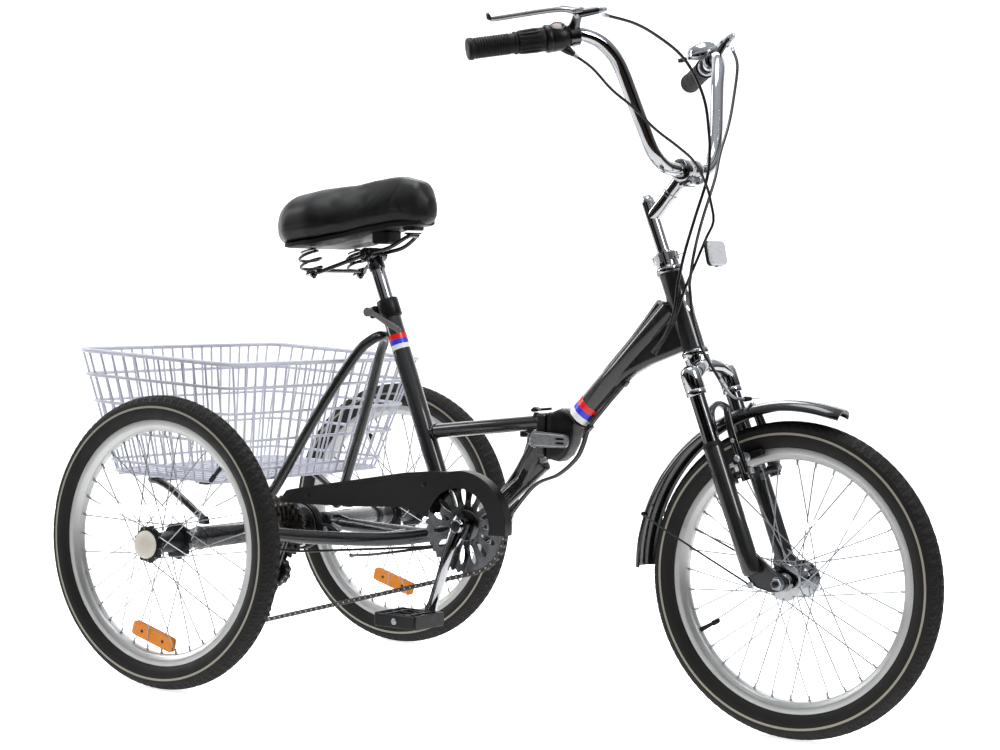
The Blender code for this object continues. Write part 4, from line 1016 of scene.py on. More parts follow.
def make_hinge():
    """Folding joint: both plates with welded edges, pin with its collars, catch on top."""
    rear = Piece("hinge_plate_rear_forged", "rear_frame", enamel, zinc)
    edge = rounded([(-0.026, 0.408), (0.0215, 0.408), (0.0215, 0.482), (-0.026, 0.482)], 0.007, 4)
    rear.slab(edge, at(0.542, 0, 0), Y, Z, 0.0, 0.0155, 0.0018)
    for low, high in ((-0.037, -0.014), (0.014, 0.037)):
        rear.bar(HINGE + Z * low, HINGE + Z * high, 0.0085, 28, 0.001)
        y0, y1 = 0.02, 0.03
        z0 = 0.408 if low < 0 else 0.459
        rear.slab([(y0, z0), (y1, z0), (y1, z0 + 0.023), (y0, z0 + 0.023)], at(0.544, 0, 0), Y, Z,
            0, 0.0125, 0.001)
    throat = [(0.5075, 0.446), (0.543, 0.4405), (0.543, 0.48), (0.523, 0.481)]
    rear.slab(throat, at(0, 0, 0), X, Z, -0.0085, 0.0085, 0.003)
    low_throat = [(0.516, 0.385), (0.543, 0.407), (0.543, 0.433), (0.53, 0.418)]
    rear.slab(low_throat, at(0, 0, 0), X, Z, -0.014, 0.014, 0.004)
    rear.use(1)
    rear.bar(HINGE - Z * 0.044, HINGE + Z * 0.044, 0.0045, 20)
    rear.bolt(HINGE + Z * 0.0372, Z, 0.0075, 0.0045)
    rear.bolt(HINGE - Z * 0.0372, -Z, 0.0075, 0.0045)
    rear.done("painted_frame", ("hinge_plate_rear",))

    front = Piece("hinge_plate_front_forged", "front_frame", satin_enamel, zinc)
    edge = rounded([(-0.024, 0.406), (0.021, 0.406), (0.021, 0.484), (-0.024, 0.484)], 0.007, 4)
    front.slab(edge, at(0.5604, 0, 0), Y, Z, 0.0, 0.011, 0.0015)
    rows = []
    for x, low, high, half, mid in ((0.57, 0.4045, 0.486, 0.0225, -0.0015),
            (0.58, 0.403, 0.4905, 0.0212, -0.0008), (0.592, 0.412, 0.4905, 0.02, 0),
            (0.602, 0.429, 0.485, 0.0188, 0), (0.6075, 0.448, 0.476, 0.0165, 0)):
        section = rounded([(-half, low), (half, low), (half, high), (-half, high)], 0.012, 5)
        rows.append([at(x, y + mid, z) for y, z in section])
    front.skin(rows)
    front.turn([(-0.0135, 0.005), (-0.0135, 0.008), (-0.013, 0.0085), (0.013, 0.0085),
        (0.0135, 0.008), (0.0135, 0.005)], HINGE, Z, 28, loop=True)
    front.slab([(0.018, 0.432), (0.0315, 0.432), (0.0315, 0.458), (0.018, 0.458)], at(0.5658, 0, 0),
        Y, Z, 0, 0.0092, 0.001)
    front.done("painted_frame", ("hinge_plate_front",))

    catch = Piece("hinge_safety_catch", "rear_frame", satin_enamel, zinc)
    outline = rounded([(0.515, 0.4845), (0.523, 0.4905), (0.529, 0.4875), (0.552, 0.4905),
        (0.552, 0.486), (0.529, 0.4835), (0.52, 0.481)], 0.002, 3)
    catch.slab(outline, at(0, 0, 0), X, Z, -0.006, 0.006, 0.0012)
    catch.use(1)
    catch.bolt(at(0.535, -0.006, 0.4866), -Y, 0.003, 0.002)
    catch.done("painted_frame")


def make_latch():
    """Cast latch lever: wrapped round its pivot at the back, slotted at the front."""
    lever = Piece("latch_lever_cast", "latch", cast_alloy, zinc)
    outline = [(0.538, 0.428), (0.552, 0.4262), (0.604, 0.4282), (0.6098, 0.433), (0.6098, 0.446),
        (0.604, 0.4502), (0.552, 0.4525), (0.538, 0.4505)]
    slot_hole = rounded([(0.586, 0.4335), (0.603, 0.4335), (0.603, 0.4372), (0.586, 0.4372)], 0.0015, 3)
    second = rounded([(0.586, 0.4405), (0.603, 0.4405), (0.603, 0.444), (0.586, 0.444)], 0.0015, 3)
    lever.pierced([rounded(outline, 0.004, 4), slot_hole, second], at(0, -0.033, 0), X, Z, -0.0018, 0.0028)
    lever.bar(at(0.543, -0.03, 0.4395) - Z * 0.012, at(0.543, -0.03, 0.4395) + Z * 0.012, 0.0055, 20, 0.001)
    for z in (0.43, 0.449):
        lever.tube([at(0.545, -0.0352, z), at(0.58, -0.0356, z),
            at(0.603, -0.035, z + (0.4393 - z) * 0.1)], 0.0012, 8)
    lever.use(1)
    lever.bar(at(0.543, -0.03, 0.4245), at(0.543, -0.03, 0.4545), 0.0026, 14)
    lever.done("alloy", ("latch_lever",))


# ---------------------------------------------------------------- fork, mudguard and front brake

LEG_Y = 0.058
LEG_AHEAD = 0.012
PAD_UP = 0.178


def make_fork():
    """Headset nuts, steerer, chrome crown and black chrome stanchions, then gloss legs and arch."""
    crown = Piece("fork_crown_cast", "fork", chrome, dark_chrome, enamel)
    column = [(-0.016, 0.0114), (-0.016, 0.02), (-0.015, 0.0208), (-0.004, 0.0208), (-0.0032, 0.02)]
    column += [(-0.0032, 0.0144), (0.1495, 0.0144), (0.15, 0.0185), (0.1505, 0.019), (0.156, 0.019)]
    column += [(0.1564, 0.0182), (0.1572, 0.0182), (0.1576, 0.019), (0.1716, 0.019),
        (0.172, 0.0184), (0.172, 0.0114)]
    crown.turn(column, HEAD_LOW, STEER_UP, 48, loop=True)
    crown.turn([(0, 0.015), (0.013, 0.02), (0.0135, 0.0212), (0, 0.0212)],
        HEAD_LOW + STEER_UP * 0.1576, STEER_UP, 6, loop=True)
    span = [(-0.048, -0.064, 0.0085), (-0.041, -0.056, 0.015), (-0.033, -0.044, 0.0165),
        (-0.025, -0.027, 0.0178), (-0.0215, -0.012, 0.0196), (-0.021, 0, 0.02)]
    span += [(up, -y, deep) for up, y, deep in span[-2::-1]]
    rows = []
    for up, y, deep in span:
        tall = 0.0085 + 0.0035 * (1 - abs(y) / LEG_Y)
        ring = []
        for i in range(24):
            a = 2 * math.pi * i / 24
            c, s = math.cos(a), math.sin(a)
            ahead = math.copysign(abs(c) ** 0.8, c) * deep
            rise = math.copysign(abs(s) ** 0.7, s) * tall - (0.003 * math.cos(2 * a) if s > 0 else 0)
            ring.append(steer(up + rise, LEG_AHEAD * min(1, abs(y) / 0.03) + ahead, y))
        rows.append(ring)
    crown.skin(rows)
    for sign in (-1, 1):
        base = steer(0, LEG_AHEAD, sign * LEG_Y)
        crown.use(0)
        cap = [(-0.069, 0.0128), (-0.069, 0.0155), (-0.068, 0.0162), (-0.061, 0.0162),
            (-0.06, 0.0156), (-0.059, 0.0162)]
        cap += [(-0.033, 0.0162), (-0.027, 0.015), (-0.0235, 0.0118), (-0.0225, 0.006)]
        crown.turn(cap, base, STEER_UP, 40)
        crown.use(1)
        crown.turn([(-0.24, 0.0122), (-0.0685, 0.0122)], base, STEER_UP, 36)
        crown.use(2)
        crown.turn([(-0.024, 0.008), (-0.0215, 0.008), (-0.0205, 0.0066)], base, STEER_UP, 24)
    crown.done("chrome", ("fork_crown",))

    legs = Piece("fork_legs_gloss", "fork_legs", enamel, grip_rubber, zinc)
    for sign in (-1, 1):
        base = steer(0, LEG_AHEAD, sign * LEG_Y)
        profile = [(-0.36, 0.0085), (-0.358, 0.0128), (-0.352, 0.0152), (-0.32, 0.0155),
            (-0.154, 0.0155), (-0.152, 0.015)]
        profile += [(-0.152, 0.013), (-0.3, 0.013)]
        legs.turn(profile, base, STEER_UP, 40)
        legs.use(1)
        legs.turn([(-0.153, 0.0124), (-0.153, 0.016), (-0.15, 0.016), (-0.145, 0.0138),
            (-0.145, 0.0124)], base, STEER_UP, 36, loop=True)
        legs.use(0)
        tip = [(-0.0545, 0.053), (-0.0635, 0.015), (-0.0415, -0.009), (-0.0055, -0.015),
            (0.014, -0.007), (0.014, 0.009), (-0.0055, 0.017)]
        tip = rounded([(x, z) for x, z in tip], 0.008, 5)
        low, high = sorted((-sign * 0.0525, -sign * 0.0465))
        hole = [(0.0053 * math.cos(2 * math.pi * i / 20),
            0.0053 * math.sin(2 * math.pi * i / 20)) for i in range(20)]
        legs.pierced([tip, hole], FRONT_AXLE, X, Z, low, high)
        rim = [(x * 0.93 - 0.0015, z * 0.93) for x, z in tip]
        legs.tube([FRONT_AXLE + X * x + Z * z + Y * sign * 0.0525 for x, z in rim[::2]], 0.0014, 6,
            loop=True)
        boss = FRONT_AXLE + STEER_UP * PAD_UP + Y * sign * 0.046
        legs.bar(boss - STEER_AHEAD * 0.0232, boss - STEER_AHEAD * 0.0082, 0.006, 18)
        legs.slab(rounded([(-0.004, -0.013), (0.0105, -0.009), (0.0105, 0.009), (-0.004, 0.016)],
            0.004, 3), boss - STEER_AHEAD * 0.0215, Y * sign, STEER_UP, -0.004, 0.004, 0.001)
        legs.use(2)
        eye = at(0.9625 + 0.0005, sign * 0.0525, 0.2405)
        legs.bolt(eye, Y * sign, 0.006, 0.005)
        legs.use(0)
    arch = [(-0.176, -0.0435), (-0.15, -0.0425), (-0.12, -0.0385), (-0.095, -0.028), (-0.084, 0)]
    arch += [(up, -y) for up, y in arch[-2::-1]]
    path = curve_through([steer(up, LEG_AHEAD - 0.001, y) for up, y in arch], 0.006)
    legs.tube(path, 0.005, 18, flat=1.35, upright=STEER_AHEAD)
    legs.done("painted_frame", ("fork_lowers",))

    axle = Piece("front_axle_nuts", "fork_legs", zinc, satin_enamel)
    axle.turn([(-0.0665, 0.004), (-0.0655, 0.0048), (0.0655, 0.0048), (0.0665, 0.004)], FRONT_AXLE, Y, 24)
    for sign in (-1, 1):
        washer = [(0, 0.0048), (0, 0.0108), (0.0016, 0.0108), (0.0016, 0.0048)]
        axle.turn(washer, FRONT_AXLE + Y * sign * 0.0528, Y * sign, 32, loop=True)
        axle.turn([(0, 0.0095), (0.007, 0.0095), (0.0082, 0.0082)], FRONT_AXLE + Y * sign * 0.0544,
            Y * sign, 6)
        axle.use(1)
        axle.turn([(0, 0.0052), (0.0045, 0.005), (0.0056, 0.0034)], FRONT_AXLE + Y * sign * 0.0618,
            Y * sign, 20)
        axle.use(0)
    axle.done("steel", ("front_axle",))


STAY_WIRE_RADIUS = 0.0016


def make_mudguard():
    """Rolled mudguard with two pressed creases, folded edges, its bolt and wire stays."""
    guard = Piece("front_mudguard_rolled", "fork_legs", gloss_plastic, zinc, satin_enamel)
    half = [(0.0, 0.279), (0.004, 0.2789), (0.0075, 0.2781), (0.0092, 0.2787), (0.0108, 0.2776),
        (0.0165, 0.2764), (0.0215, 0.2738), (0.025, 0.2703), (0.0268, 0.2665), (0.027, 0.2652)]
    over = [(-y, r) for y, r in half[::-1]] + half[1:]
    section = over + [(y * 0.95, r - 0.002) for y, r in over[::-1]]
    rings = []
    steps = 90
    for i in range(steps + 1):
        t = i / steps
        a = math.radians(73.5 + 107 * t)
        pinch = 1 - 0.3 * max(0, 1 - t * steps / 4) ** 2
        rings.append([around(FRONT_AXLE, a, r, y * pinch) for y, r in section])
    guard.skin(rings)
    guard.use(2)
    for sign in (-1, 1):
        eye = at(0.7529, sign * 0.0285, 0.332)
        foot = at(0.963, sign * 0.056, 0.2405)
        middle = eye + (foot - eye) * 0.15 + Y * sign * 0.006
        stay_route = [eye - Y * sign * 0.003, middle, foot]
        guard.tube(curve_through(stay_route, 0.02), STAY_WIRE_RADIUS, 10)
        guard.ball(eye, 0.0042, 12)
    guard.use(1)
    crest = around(FRONT_AXLE, math.radians(107), 0.2795)
    out = (crest - FRONT_AXLE).normalized()
    guard.turn([(0, 0.0062), (0.0012, 0.0062), (0.002, 0.004), (0.0042, 0.0036)], crest, out, 20)
    guard.done("painted_frame", ("front_mudguard",))


def make_brake_arms():
    """Front brake: curved hollow arms with springs and pads."""
    for name, sign in (("right", -1), ("left", 1)):
        arm = Piece(f"front_brake_arm_{name}", f"brake_arm_{name}", gloss_plastic, zinc, grip_rubber)
        foot = FRONT_AXLE + STEER_UP * PAD_UP
        route = [(-0.012, 0.0465, 0.007), (0.0, 0.0475, 0.0085), (0.025, 0.05, 0.0078),
            (0.06, 0.0508, 0.0066), (0.085, 0.048, 0.0056), (0.104, 0.043, 0.0048)]
        path = curve_through([foot + STEER_UP * up + Y * sign * y for up, y, _ in route], 0.007)
        last = len(path) - 1
        radii = [0.0076 - 0.0026 * (i / last) ** 1.3 + (0.0012 if i < 2 else 0) for i in range(last + 1)]
        arm.tube(path, radii, 18, flat=1.0, upright=STEER_AHEAD)
        shell = [p + STEER_AHEAD * 0.0045 + Y * sign * 0.0025 for p in path[2:-1]]
        arm.tube(shell, [r * 0.72 for r in radii[2:-1]], 14)
        arm.bar(foot + Y * sign * 0.046 - STEER_AHEAD * 0.0075,
            foot + Y * sign * 0.046 + STEER_AHEAD * 0.01, 0.0085, 24)
        arm.use(1)
        arm.bolt(foot + Y * sign * 0.046 + STEER_AHEAD * 0.01, STEER_AHEAD, 0.0055, 0.0038)
        pad_at = FRONT_AXLE + STEER_UP * 0.202
        arm.bar(pad_at + Y * sign * 0.0235, pad_at + Y * sign * 0.0585, 0.003, 14)
        for y, r in ((0.03, 0.0072), (0.035, 0.0082), (0.0425, 0.0078), (0.0555, 0.0068)):
            arm.turn([(-0.0016, r), (0.0016, r * 0.9)], pad_at + Y * sign * y, Y * sign, 18)
        arm.bolt(pad_at + Y * sign * 0.057, Y * sign, 0.0055, 0.004)
        arm.bar(foot + STEER_UP * 0.052 + Y * sign * 0.052 + STEER_AHEAD * 0.002,
            foot + STEER_UP * 0.052 + Y * sign * 0.0605 + STEER_AHEAD * 0.002, 0.0034, 12)
        arm.tube([foot + Y * sign * 0.0475 - STEER_AHEAD * 0.007,
            foot + Y * sign * 0.048 + STEER_UP * 0.03 - STEER_AHEAD * 0.0085,
            foot + Y * sign * 0.046 + STEER_UP * 0.066 - STEER_AHEAD * 0.008], 0.001, 8)
        arm.use(2)
        block = rounded([(-0.027, -0.0052), (0.027, -0.0052), (0.027, 0.0052), (-0.027, 0.0052)], 0.003, 3)
        arm.slab(block, pad_at + Y * sign * 0.0215, STEER_AHEAD, STEER_UP, -0.0048, 0.0048, 0.001)
        arm.done("black_plastic", (f"v_brake_arm_{name}",))


# ---------------------------------------------------------------- handlebar and controls

QUILL_TOP = 0.268
BAR_R = 0.0111


def bar_frame(sign):
    """The straight hand grip: its outer end and its direction inwards, on the side given by the sign."""
    outer, inner = at(0.609, sign * 0.335, 1.0482), at(0.712, sign * 0.228, 1.0735)
    return outer, (inner - outer).normalized()


def lever_side(sign):
    """The direction from the grip to its brake lever: ahead and a little up."""
    _, along = bar_frame(sign)
    out = (Y * sign - along * along.dot(Y * sign)).normalized() * 0.6 + Z * 0.8
    return (out - along * out.dot(along)).normalized()


def handlebar_route():
    outer, along = bar_frame(-1)
    right = [outer + along * d for d in (0.006, 0.06, 0.12, 0.155, 0.175)]
    bend = [(0.7455, -0.188, 1.07), (0.7575, -0.17, 1.054), (0.7655, -0.152, 1.03), (0.775, -0.135, 0.99)]
    bend += [(0.785, -0.117, 0.946), (0.7925, -0.096, 0.906), (0.7975, -0.068, 0.885),
        (0.8, -0.035, 0.88), (0.8, 0, 0.88)]
    right += [at(*p) for p in bend]
    return right + [Vector((p.x, -p.y, p.z)) for p in right[-2::-1]]


def make_stem_and_bar():
    """Chrome quill stem with its expander bolt, forward arm, two-bolt clamp, and the riser bar."""
    stem = Piece("quill_stem_polished", "fork", chrome, zinc)
    stem.turn([(0.115, 0.0108), (0.26, 0.0108), (0.265, 0.0104), (QUILL_TOP, 0.0085)], HEAD_LOW,
        STEER_UP, 44)
    stem.turn([(0.1724, 0.0111), (0.1724, 0.0136), (0.175, 0.0136), (0.1762, 0.0111)], HEAD_LOW,
        STEER_UP, 44, loop=True)
    start, end = at(0.744, 0, 0.812), at(0.7935, 0, 0.872)
    along = (end - start).normalized()
    length = (end - start).length
    stem.turn([(-0.008, 0.0112), (0.004, 0.0124), (0.02, 0.0117), (0.037, 0.0115), (0.038, 0.013),
        (0.043, 0.013), (0.044, 0.0115), (length, 0.0122)], start, along, 44)
    centre = at(0.8, 0, 0.88)
    barrel = [(-0.0225, 0.0114), (-0.0225, 0.0168), (-0.0215, 0.0182), (-0.02, 0.0186),
        (-0.005, 0.0186), (-0.0042, 0.018), (0.0042, 0.018), (0.005, 0.0186), (0.02, 0.0186),
        (0.0215, 0.0182), (0.0225, 0.0168), (0.0225, 0.0114)]
    stem.turn(barrel, centre, Y, 44, loop=True)
    drop = (Z * -0.85 + X * 0.3).normalized()
    aside = Y.cross(drop)
    for side in (-1, 1):
        ear = rounded([(-0.02, 0.015), (0.02, 0.015), (0.019, 0.027), (-0.019, 0.027)], 0.005, 4)
        stem.slab(ear, centre + aside * side * 0.0065, Y, drop, -0.0042, 0.0042, 0.0012)
    stem.use(1)
    for y in (-0.012, 0.012):
        spot = centre + drop * 0.0215 + Y * y
        stem.bar(spot - aside * 0.0125, spot + aside * 0.0125, 0.0026, 12)
        stem.bolt(spot + aside * 0.0105, aside, 0.005, 0.004)
        stem.bolt(spot - aside * 0.0105, -aside, 0.005, 0.004)
    stem.turn([(QUILL_TOP - 0.003, 0.0078), (QUILL_TOP + 0.001, 0.0078),
        (QUILL_TOP + 0.0042, 0.006)], HEAD_LOW, STEER_UP, 6)
    stem.done("chrome", ("quill_stem",))

    bar = Piece("handlebar_bent", "fork", chrome)
    bar.tube(curve_through(handlebar_route(), 0.008), BAR_R, 32)
    bar.done("chrome", ("handlebar",))


def make_grip(side, sign, length):
    """Moulded grip: end flange, rows of rings with flats and a rounded plug."""
    outer, along = bar_frame(sign)
    grip = Piece(f"grip_{side}_moulded", "fork", grip_rubber)
    profile = [(-0.003, 0.006), (-0.003, 0.015), (-0.002, 0.0164), (0.001, 0.0172),
        (0.0045, 0.0172), (0.006, 0.0162)]
    pitch = 0.0042
    rows = int((length - 0.016) / pitch)
    for i in range(rows):
        h = 0.008 + i * pitch
        profile += [(h, 0.0153), (h + 0.001, 0.0162), (h + 0.0028, 0.0162), (h + 0.0036, 0.0153)]
    profile += [(length - 0.005, 0.0158), (length - 0.0038, 0.0175), (length - 0.0006, 0.0175),
        (length, 0.0165), (length, 0.0117), (0.002, 0.0117)]
    grip.turn(profile, outer, along, 48)
    grip.done("grip_rubber", (f"grip_{side}",))


def make_shifter():
    """Ribbed twist sleeve, and its housing with the gear window and cable boss."""
    outer, along = bar_frame(-1)
    u, v = square_to(along)
    twist = Piece("twist_shifter_ribbed", "shifter", grip_rubber)
    rows = []
    for h, base, rib in ((0.0752, 0.0162, 0.0), (0.0765, 0.0172, 0.0), (0.08, 0.0172, 0.001),
            (0.088, 0.0172, 0.0013), (0.096, 0.0174, 0.0013), (0.104, 0.0178, 0.0012),
            (0.108, 0.0181, 0.0006), (0.11, 0.0185, 0.0), (0.117, 0.0187, 0.0),
            (0.118, 0.018, 0.0)):
        ring = []
        for i in range(96):
            a = 2 * math.pi * i / 96
            r = base + (rib if i % 6 in (0, 1, 2) else -rib * 0.3)
            ring.append(outer + along * h + (u * math.cos(a) + v * math.sin(a)) * r)
        rows.append(ring)
    rows.append([outer + along * 0.118 + (u * math.cos(2 * math.pi * i / 96) + v
        * math.sin(2 * math.pi * i / 96)) * 0.0117 for i in range(96)])
    rows.append([outer + along * 0.0752 + (u * math.cos(2 * math.pi * i / 96) + v
        * math.sin(2 * math.pi * i / 96)) * 0.0117 for i in range(96)])
    twist.skin(rows, loop=True)
    twist.done("grip_rubber", ("twist_shifter",))

    case = Piece("shifter_housing_moulded", "fork", moulded_plastic, dial_window, dial_mark, zinc)
    profile = [(0.1185, 0.0117), (0.1185, 0.0205), (0.12, 0.0215), (0.126, 0.0215),
        (0.1275, 0.0205), (0.129, 0.0213), (0.146, 0.0205), (0.153, 0.018), (0.155, 0.016),
        (0.155, 0.0117)]
    case.turn(profile, outer, along, 48, loop=True)
    face = (-Y * 0.85 - X * 0.1 + Z * 0.62)
    face = (face - along * face.dot(along)).normalized()
    across = along.cross(face)
    dial = outer + along * 0.1385
    case.turn([(0.015, 0.012), (0.02, 0.012), (0.0212, 0.0108), (0.0212, 0.0092), (0.0206, 0.009)],
        dial, face, 36)
    case.use(1)
    case.turn([(0.02, 0.009), (0.021, 0.0088), (0.0215, 0.006), (0.0216, 0.001)], dial, face, 36)
    case.use(2)
    for k in range(5):
        a = math.radians(200 + 35 * k)
        spot = dial + face * 0.02155 + (along * math.cos(a) + across * math.sin(a)) * 0.0066
        case.turn([(0, 0.0009), (0.0002, 0.0009)], spot, face, 10)
    case.slab([(-0.0006, 0), (0.0006, 0), (0.0003, 0.005), (-0.0003, 0.005)], dial + face * 0.02155,
        along, across, 0, 0.0002, 0.00005)
    case.use(0)
    boss = at(0.718, -0.221, 1.05)
    exit_way = (at(0.73, -0.21, 1.04) - boss).normalized()
    case.turn([(-0.016, 0.0075), (-0.004, 0.0065), (0.002, 0.0048), (0.006, 0.0044),
        (0.0065, 0.003)], boss, exit_way, 24)
    case.use(3)
    case.bolt(outer + along * 0.15 - face * 0.0185, -face, 0.003, 0.002)
    case.done("black_plastic", ("shifter_housing",))


def make_brake_lever(side, sign, where):
    """Lever bracket with its clamp, cable barrel and adjuster, and the two-finger blade."""
    outer, along = bar_frame(sign)
    out = lever_side(sign)
    up = out.cross(along)
    root = outer + along * where + out * 0.036
    bracket = Piece(f"lever_bracket_{side}_cast", "fork", dark_chrome, zinc, moulded_plastic)
    ring = [(where - 0.01, 0.0117), (where - 0.01, 0.0156), (where - 0.009, 0.0165),
        (where + 0.005, 0.0165), (where + 0.006, 0.0156), (where + 0.006, 0.0117)]
    bracket.turn(ring, outer, along, 40, loop=True)
    neck = [outer + along * (where - 0.002) + out * 0.014,
        outer + along * (where + 0.001) + out * 0.024, root + along * 0.004 - out * 0.001]
    neck_path = curve_through(neck, 0.004)
    neck_radii = [0.0075, 0.007, 0.0066, 0.0062, 0.006, 0.006, 0.006][: len(neck_path)]
    bracket.tube(neck_path, neck_radii, 20, flat=1.25, upright=along)
    barrel_start, barrel_end = root + along * 0.006, root + along * 0.036 + out * 0.002
    bracket.tube([barrel_start - along * 0.008, barrel_start, (barrel_start + barrel_end) / 2,
        barrel_end], [0.0052, 0.0068, 0.0066, 0.0058], 22)
    bracket.use(1)
    way = (barrel_end - barrel_start).normalized()
    bracket.turn([(0, 0.0052), (0.0015, 0.0056), (0.005, 0.0056), (0.006, 0.0045), (0.0125, 0.004),
        (0.013, 0.003)], barrel_end, way, 20)
    bracket.bar(root - up * 0.0085, root + up * 0.0085, 0.0036, 18)
    bracket.bolt(outer + along * (where - 0.002) - out * 0.016, -out, 0.0038, 0.0026)
    bracket.done("black_plastic", (f"lever_bracket_{side}",))

    blade = Piece(f"brake_lever_{side}_cast", f"lever_{side}", cast_alloy, moulded_plastic)
    tip = outer + along * 0.034 + out * 0.0475
    first = root + out * 0.0085
    route = [first + along * 0.012, first - along * 0.006, first - along * 0.022 + out * 0.004,
        first - along * 0.05 + out * 0.005, tip + along * 0.014, tip]
    path = curve_through(route, 0.007)
    radii = [0.0036 + 0.0016 * min(1, i / 5) for i in range(len(path))]
    radii[-1] = 0.0042
    blade.tube(path, radii, 20, flat=1.15, upright=up)
    web = [(first + along * 0.01 - out * 0.003), first - along * 0.004 - out * 0.002,
        first - along * 0.018 + out * 0.002]
    blade.tube(web, [0.004, 0.005, 0.0036], 16, flat=1.2, upright=up)
    blade.use(1)
    blade.tube([tip + along * 0.002 - out * 0.001, tip - along * 0.003 + out * 0.002,
        tip - along * 0.005 + out * 0.0085], [0.0036, 0.004, 0.0026], 16, flat=1.2, upright=up)
    blade.done("alloy", (f"brake_lever_{side}",))


def make_bell():
    """Dome bell on a strap clamp, with its thumb lever."""
    outer, along = bar_frame(1)
    up = Vector(JOINTS["bell_ring"]["axis"]).normalized()
    spot = outer + along * 0.116
    base = spot + up * 0.0135
    bell = Piece("bell_dome_spun", "fork", chrome, cap_plastic, zinc)
    dome = [(0.0085, 0.0262), (0.0078, 0.0275), (0.01, 0.0279), (0.013, 0.0272), (0.015, 0.0262),
        (0.0158, 0.0268), (0.0205, 0.025), (0.025, 0.0212), (0.0285, 0.015), (0.0302, 0.008),
        (0.0306, 0.003)]
    bell.turn(dome, base, up, 56)
    bell.bolt(base + up * 0.0298, up, 0.0036, 0.0022, 20)
    bell.use(2)
    bell.turn([(0.001, 0.007), (0.004, 0.015), (0.0072, 0.0258), (0.0086, 0.0264), (0.0086, 0.01)],
        base, up, 48)
    bell.turn([(-0.005, 0.0117), (-0.005, 0.0146), (-0.0042, 0.0152), (0.0042, 0.0152),
        (0.005, 0.0146), (0.005, 0.0117)], spot, along, 36, loop=True)
    bell.bar(spot + up * 0.012, base + up * 0.004, 0.007, 20)
    bell.done("chrome", ("bell",))

    thumb = Piece("bell_thumb_lever", "bell_thumb", moulded_plastic)
    out = up.cross(Vector((0.75, -0.66, 0))).normalized()
    start = base + up * 0.01 - out * 0.03
    thumb.tube([start, start - out * 0.008 + up * 0.001, start - out * 0.015 + up * 0.002],
        [0.003, 0.0032, 0.0026], 16, flat=1.3, upright=up)
    thumb.done("black_plastic", ("bell_lever",))


def make_controls():
    """Everything the hands reach: grips, shifter, brake levers and bell."""
    make_grip("right", -1, 0.074)
    make_grip("left", 1, 0.108)
    make_shifter()
    make_brake_lever("right", -1, 0.166)
    make_brake_lever("left", 1, 0.16)
    make_bell()


def make_front_reflector():
    """Clear reflector: rounded lens on a black back, on a bent steel strip from the headset."""
    lamp = Piece("front_reflector_moulded", "fork", clear_prism, moulded_plastic, chrome, zinc)
    turned = Matrix.Rotation(math.radians(-12), 3, "Y")
    centre, ahead, rise = at(0.856, 0, 0.75), turned @ X, turned @ Z
    outline = rounded([(-0.026, -0.02), (0.026, -0.02), (0.026, 0.02), (-0.026, 0.02)], 0.01, 6)
    lamp.slab(outline, centre, Y, rise, -0.001, 0.0055, 0.0022)
    lamp.use(1)
    lamp.slab([(x * 1.01, z * 1.01) for x, z in outline], centre, Y, rise, -0.0055, -0.0008, 0.001)
    lamp.bar(centre - rise * 0.0215 - ahead * 0.002, centre - rise * 0.018 - ahead * 0.002, 0.003, 12)
    lamp.use(2)
    strap = [at(0.7845, 0, 0.7445), at(0.8, 0, 0.75), at(0.83, 0, 0.753), at(0.849, 0, 0.749)]
    lamp.tube(curve_through(strap, 0.004), 0.0011, 12, flat=4.5, upright=Y)
    lamp.use(3)
    lamp.bolt(centre - ahead * 0.0055, -ahead, 0.0042, 0.003)
    lamp.done("clear_plastic", ("front_reflector",))


# ---------------------------------------------------------------- cables

# Routes measured from the floor under the rear axle.
FRONT_CABLE = [(0.768, 0.196, 1.09), (0.784, 0.185, 1.062), (0.793, 0.16, 1.01), (0.801, 0.13, 0.96)]
FRONT_CABLE += [(0.812, 0.085, 0.912), (0.828, 0.04, 0.867), (0.826, 0.004, 0.797), (0.826, -0.018, 0.745)]
FRONT_CABLE += [(0.828, -0.032, 0.7), (0.838, -0.036, 0.65), (0.856, -0.036, 0.6),
    (0.874, -0.038, 0.575), (0.894, -0.04, 0.55)]
REAR_CABLE = [(0.758, -0.19, 1.108), (0.776, -0.13, 1.1), (0.79, -0.08, 1.083), (0.806, -0.04, 1.059)]
REAR_CABLE += [(0.818, -0.015, 1.028), (0.829, 0.0, 0.988), (0.835, 0.004, 0.944), (0.838, 0.004, 0.909)]
REAR_CABLE += [(0.836, 0.0, 0.865), (0.824, -0.012, 0.807), (0.815, -0.026, 0.752), (0.806, -0.031, 0.701)]
REAR_LOW = [(0.806, -0.031, 0.701), (0.802, -0.031, 0.662), (0.786, -0.0285, 0.622), (0.76, -0.026, 0.59)]
GEAR_CABLE = [(0.722, -0.217, 1.046), (0.744, -0.2, 1.027), (0.768, -0.18, 0.995), (0.788, -0.15, 0.97)]
GEAR_CABLE += [(0.806, -0.11, 0.938), (0.826, -0.08, 0.915), (0.838, -0.045, 0.892), (0.846, -0.02, 0.858)]
GEAR_CABLE += [(0.85, -0.01, 0.83), (0.853, -0.005, 0.8), (0.843, -0.008, 0.775)]
GEAR_LOW = [(0.843, -0.008, 0.775), (0.832, -0.02, 0.735), (0.816, -0.027, 0.69),
    (0.797, -0.024, 0.64), (0.76, -0.015, 0.586)]
UNDER_BEAM = [(0.76, 0, 0.588), (0.722, 0, 0.56), (0.69, 0, 0.527), (0.66, 0, 0.494),
    (0.634, 0, 0.462), (0.622, 0, 0.43)]
UNDER_BEAM += [(0.609, 0, 0.408), (0.576, 0, 0.381), (0.53, 0, 0.36), (0.481, 0, 0.306),
    (0.44, 0, 0.262), (0.41, 0, 0.254)]
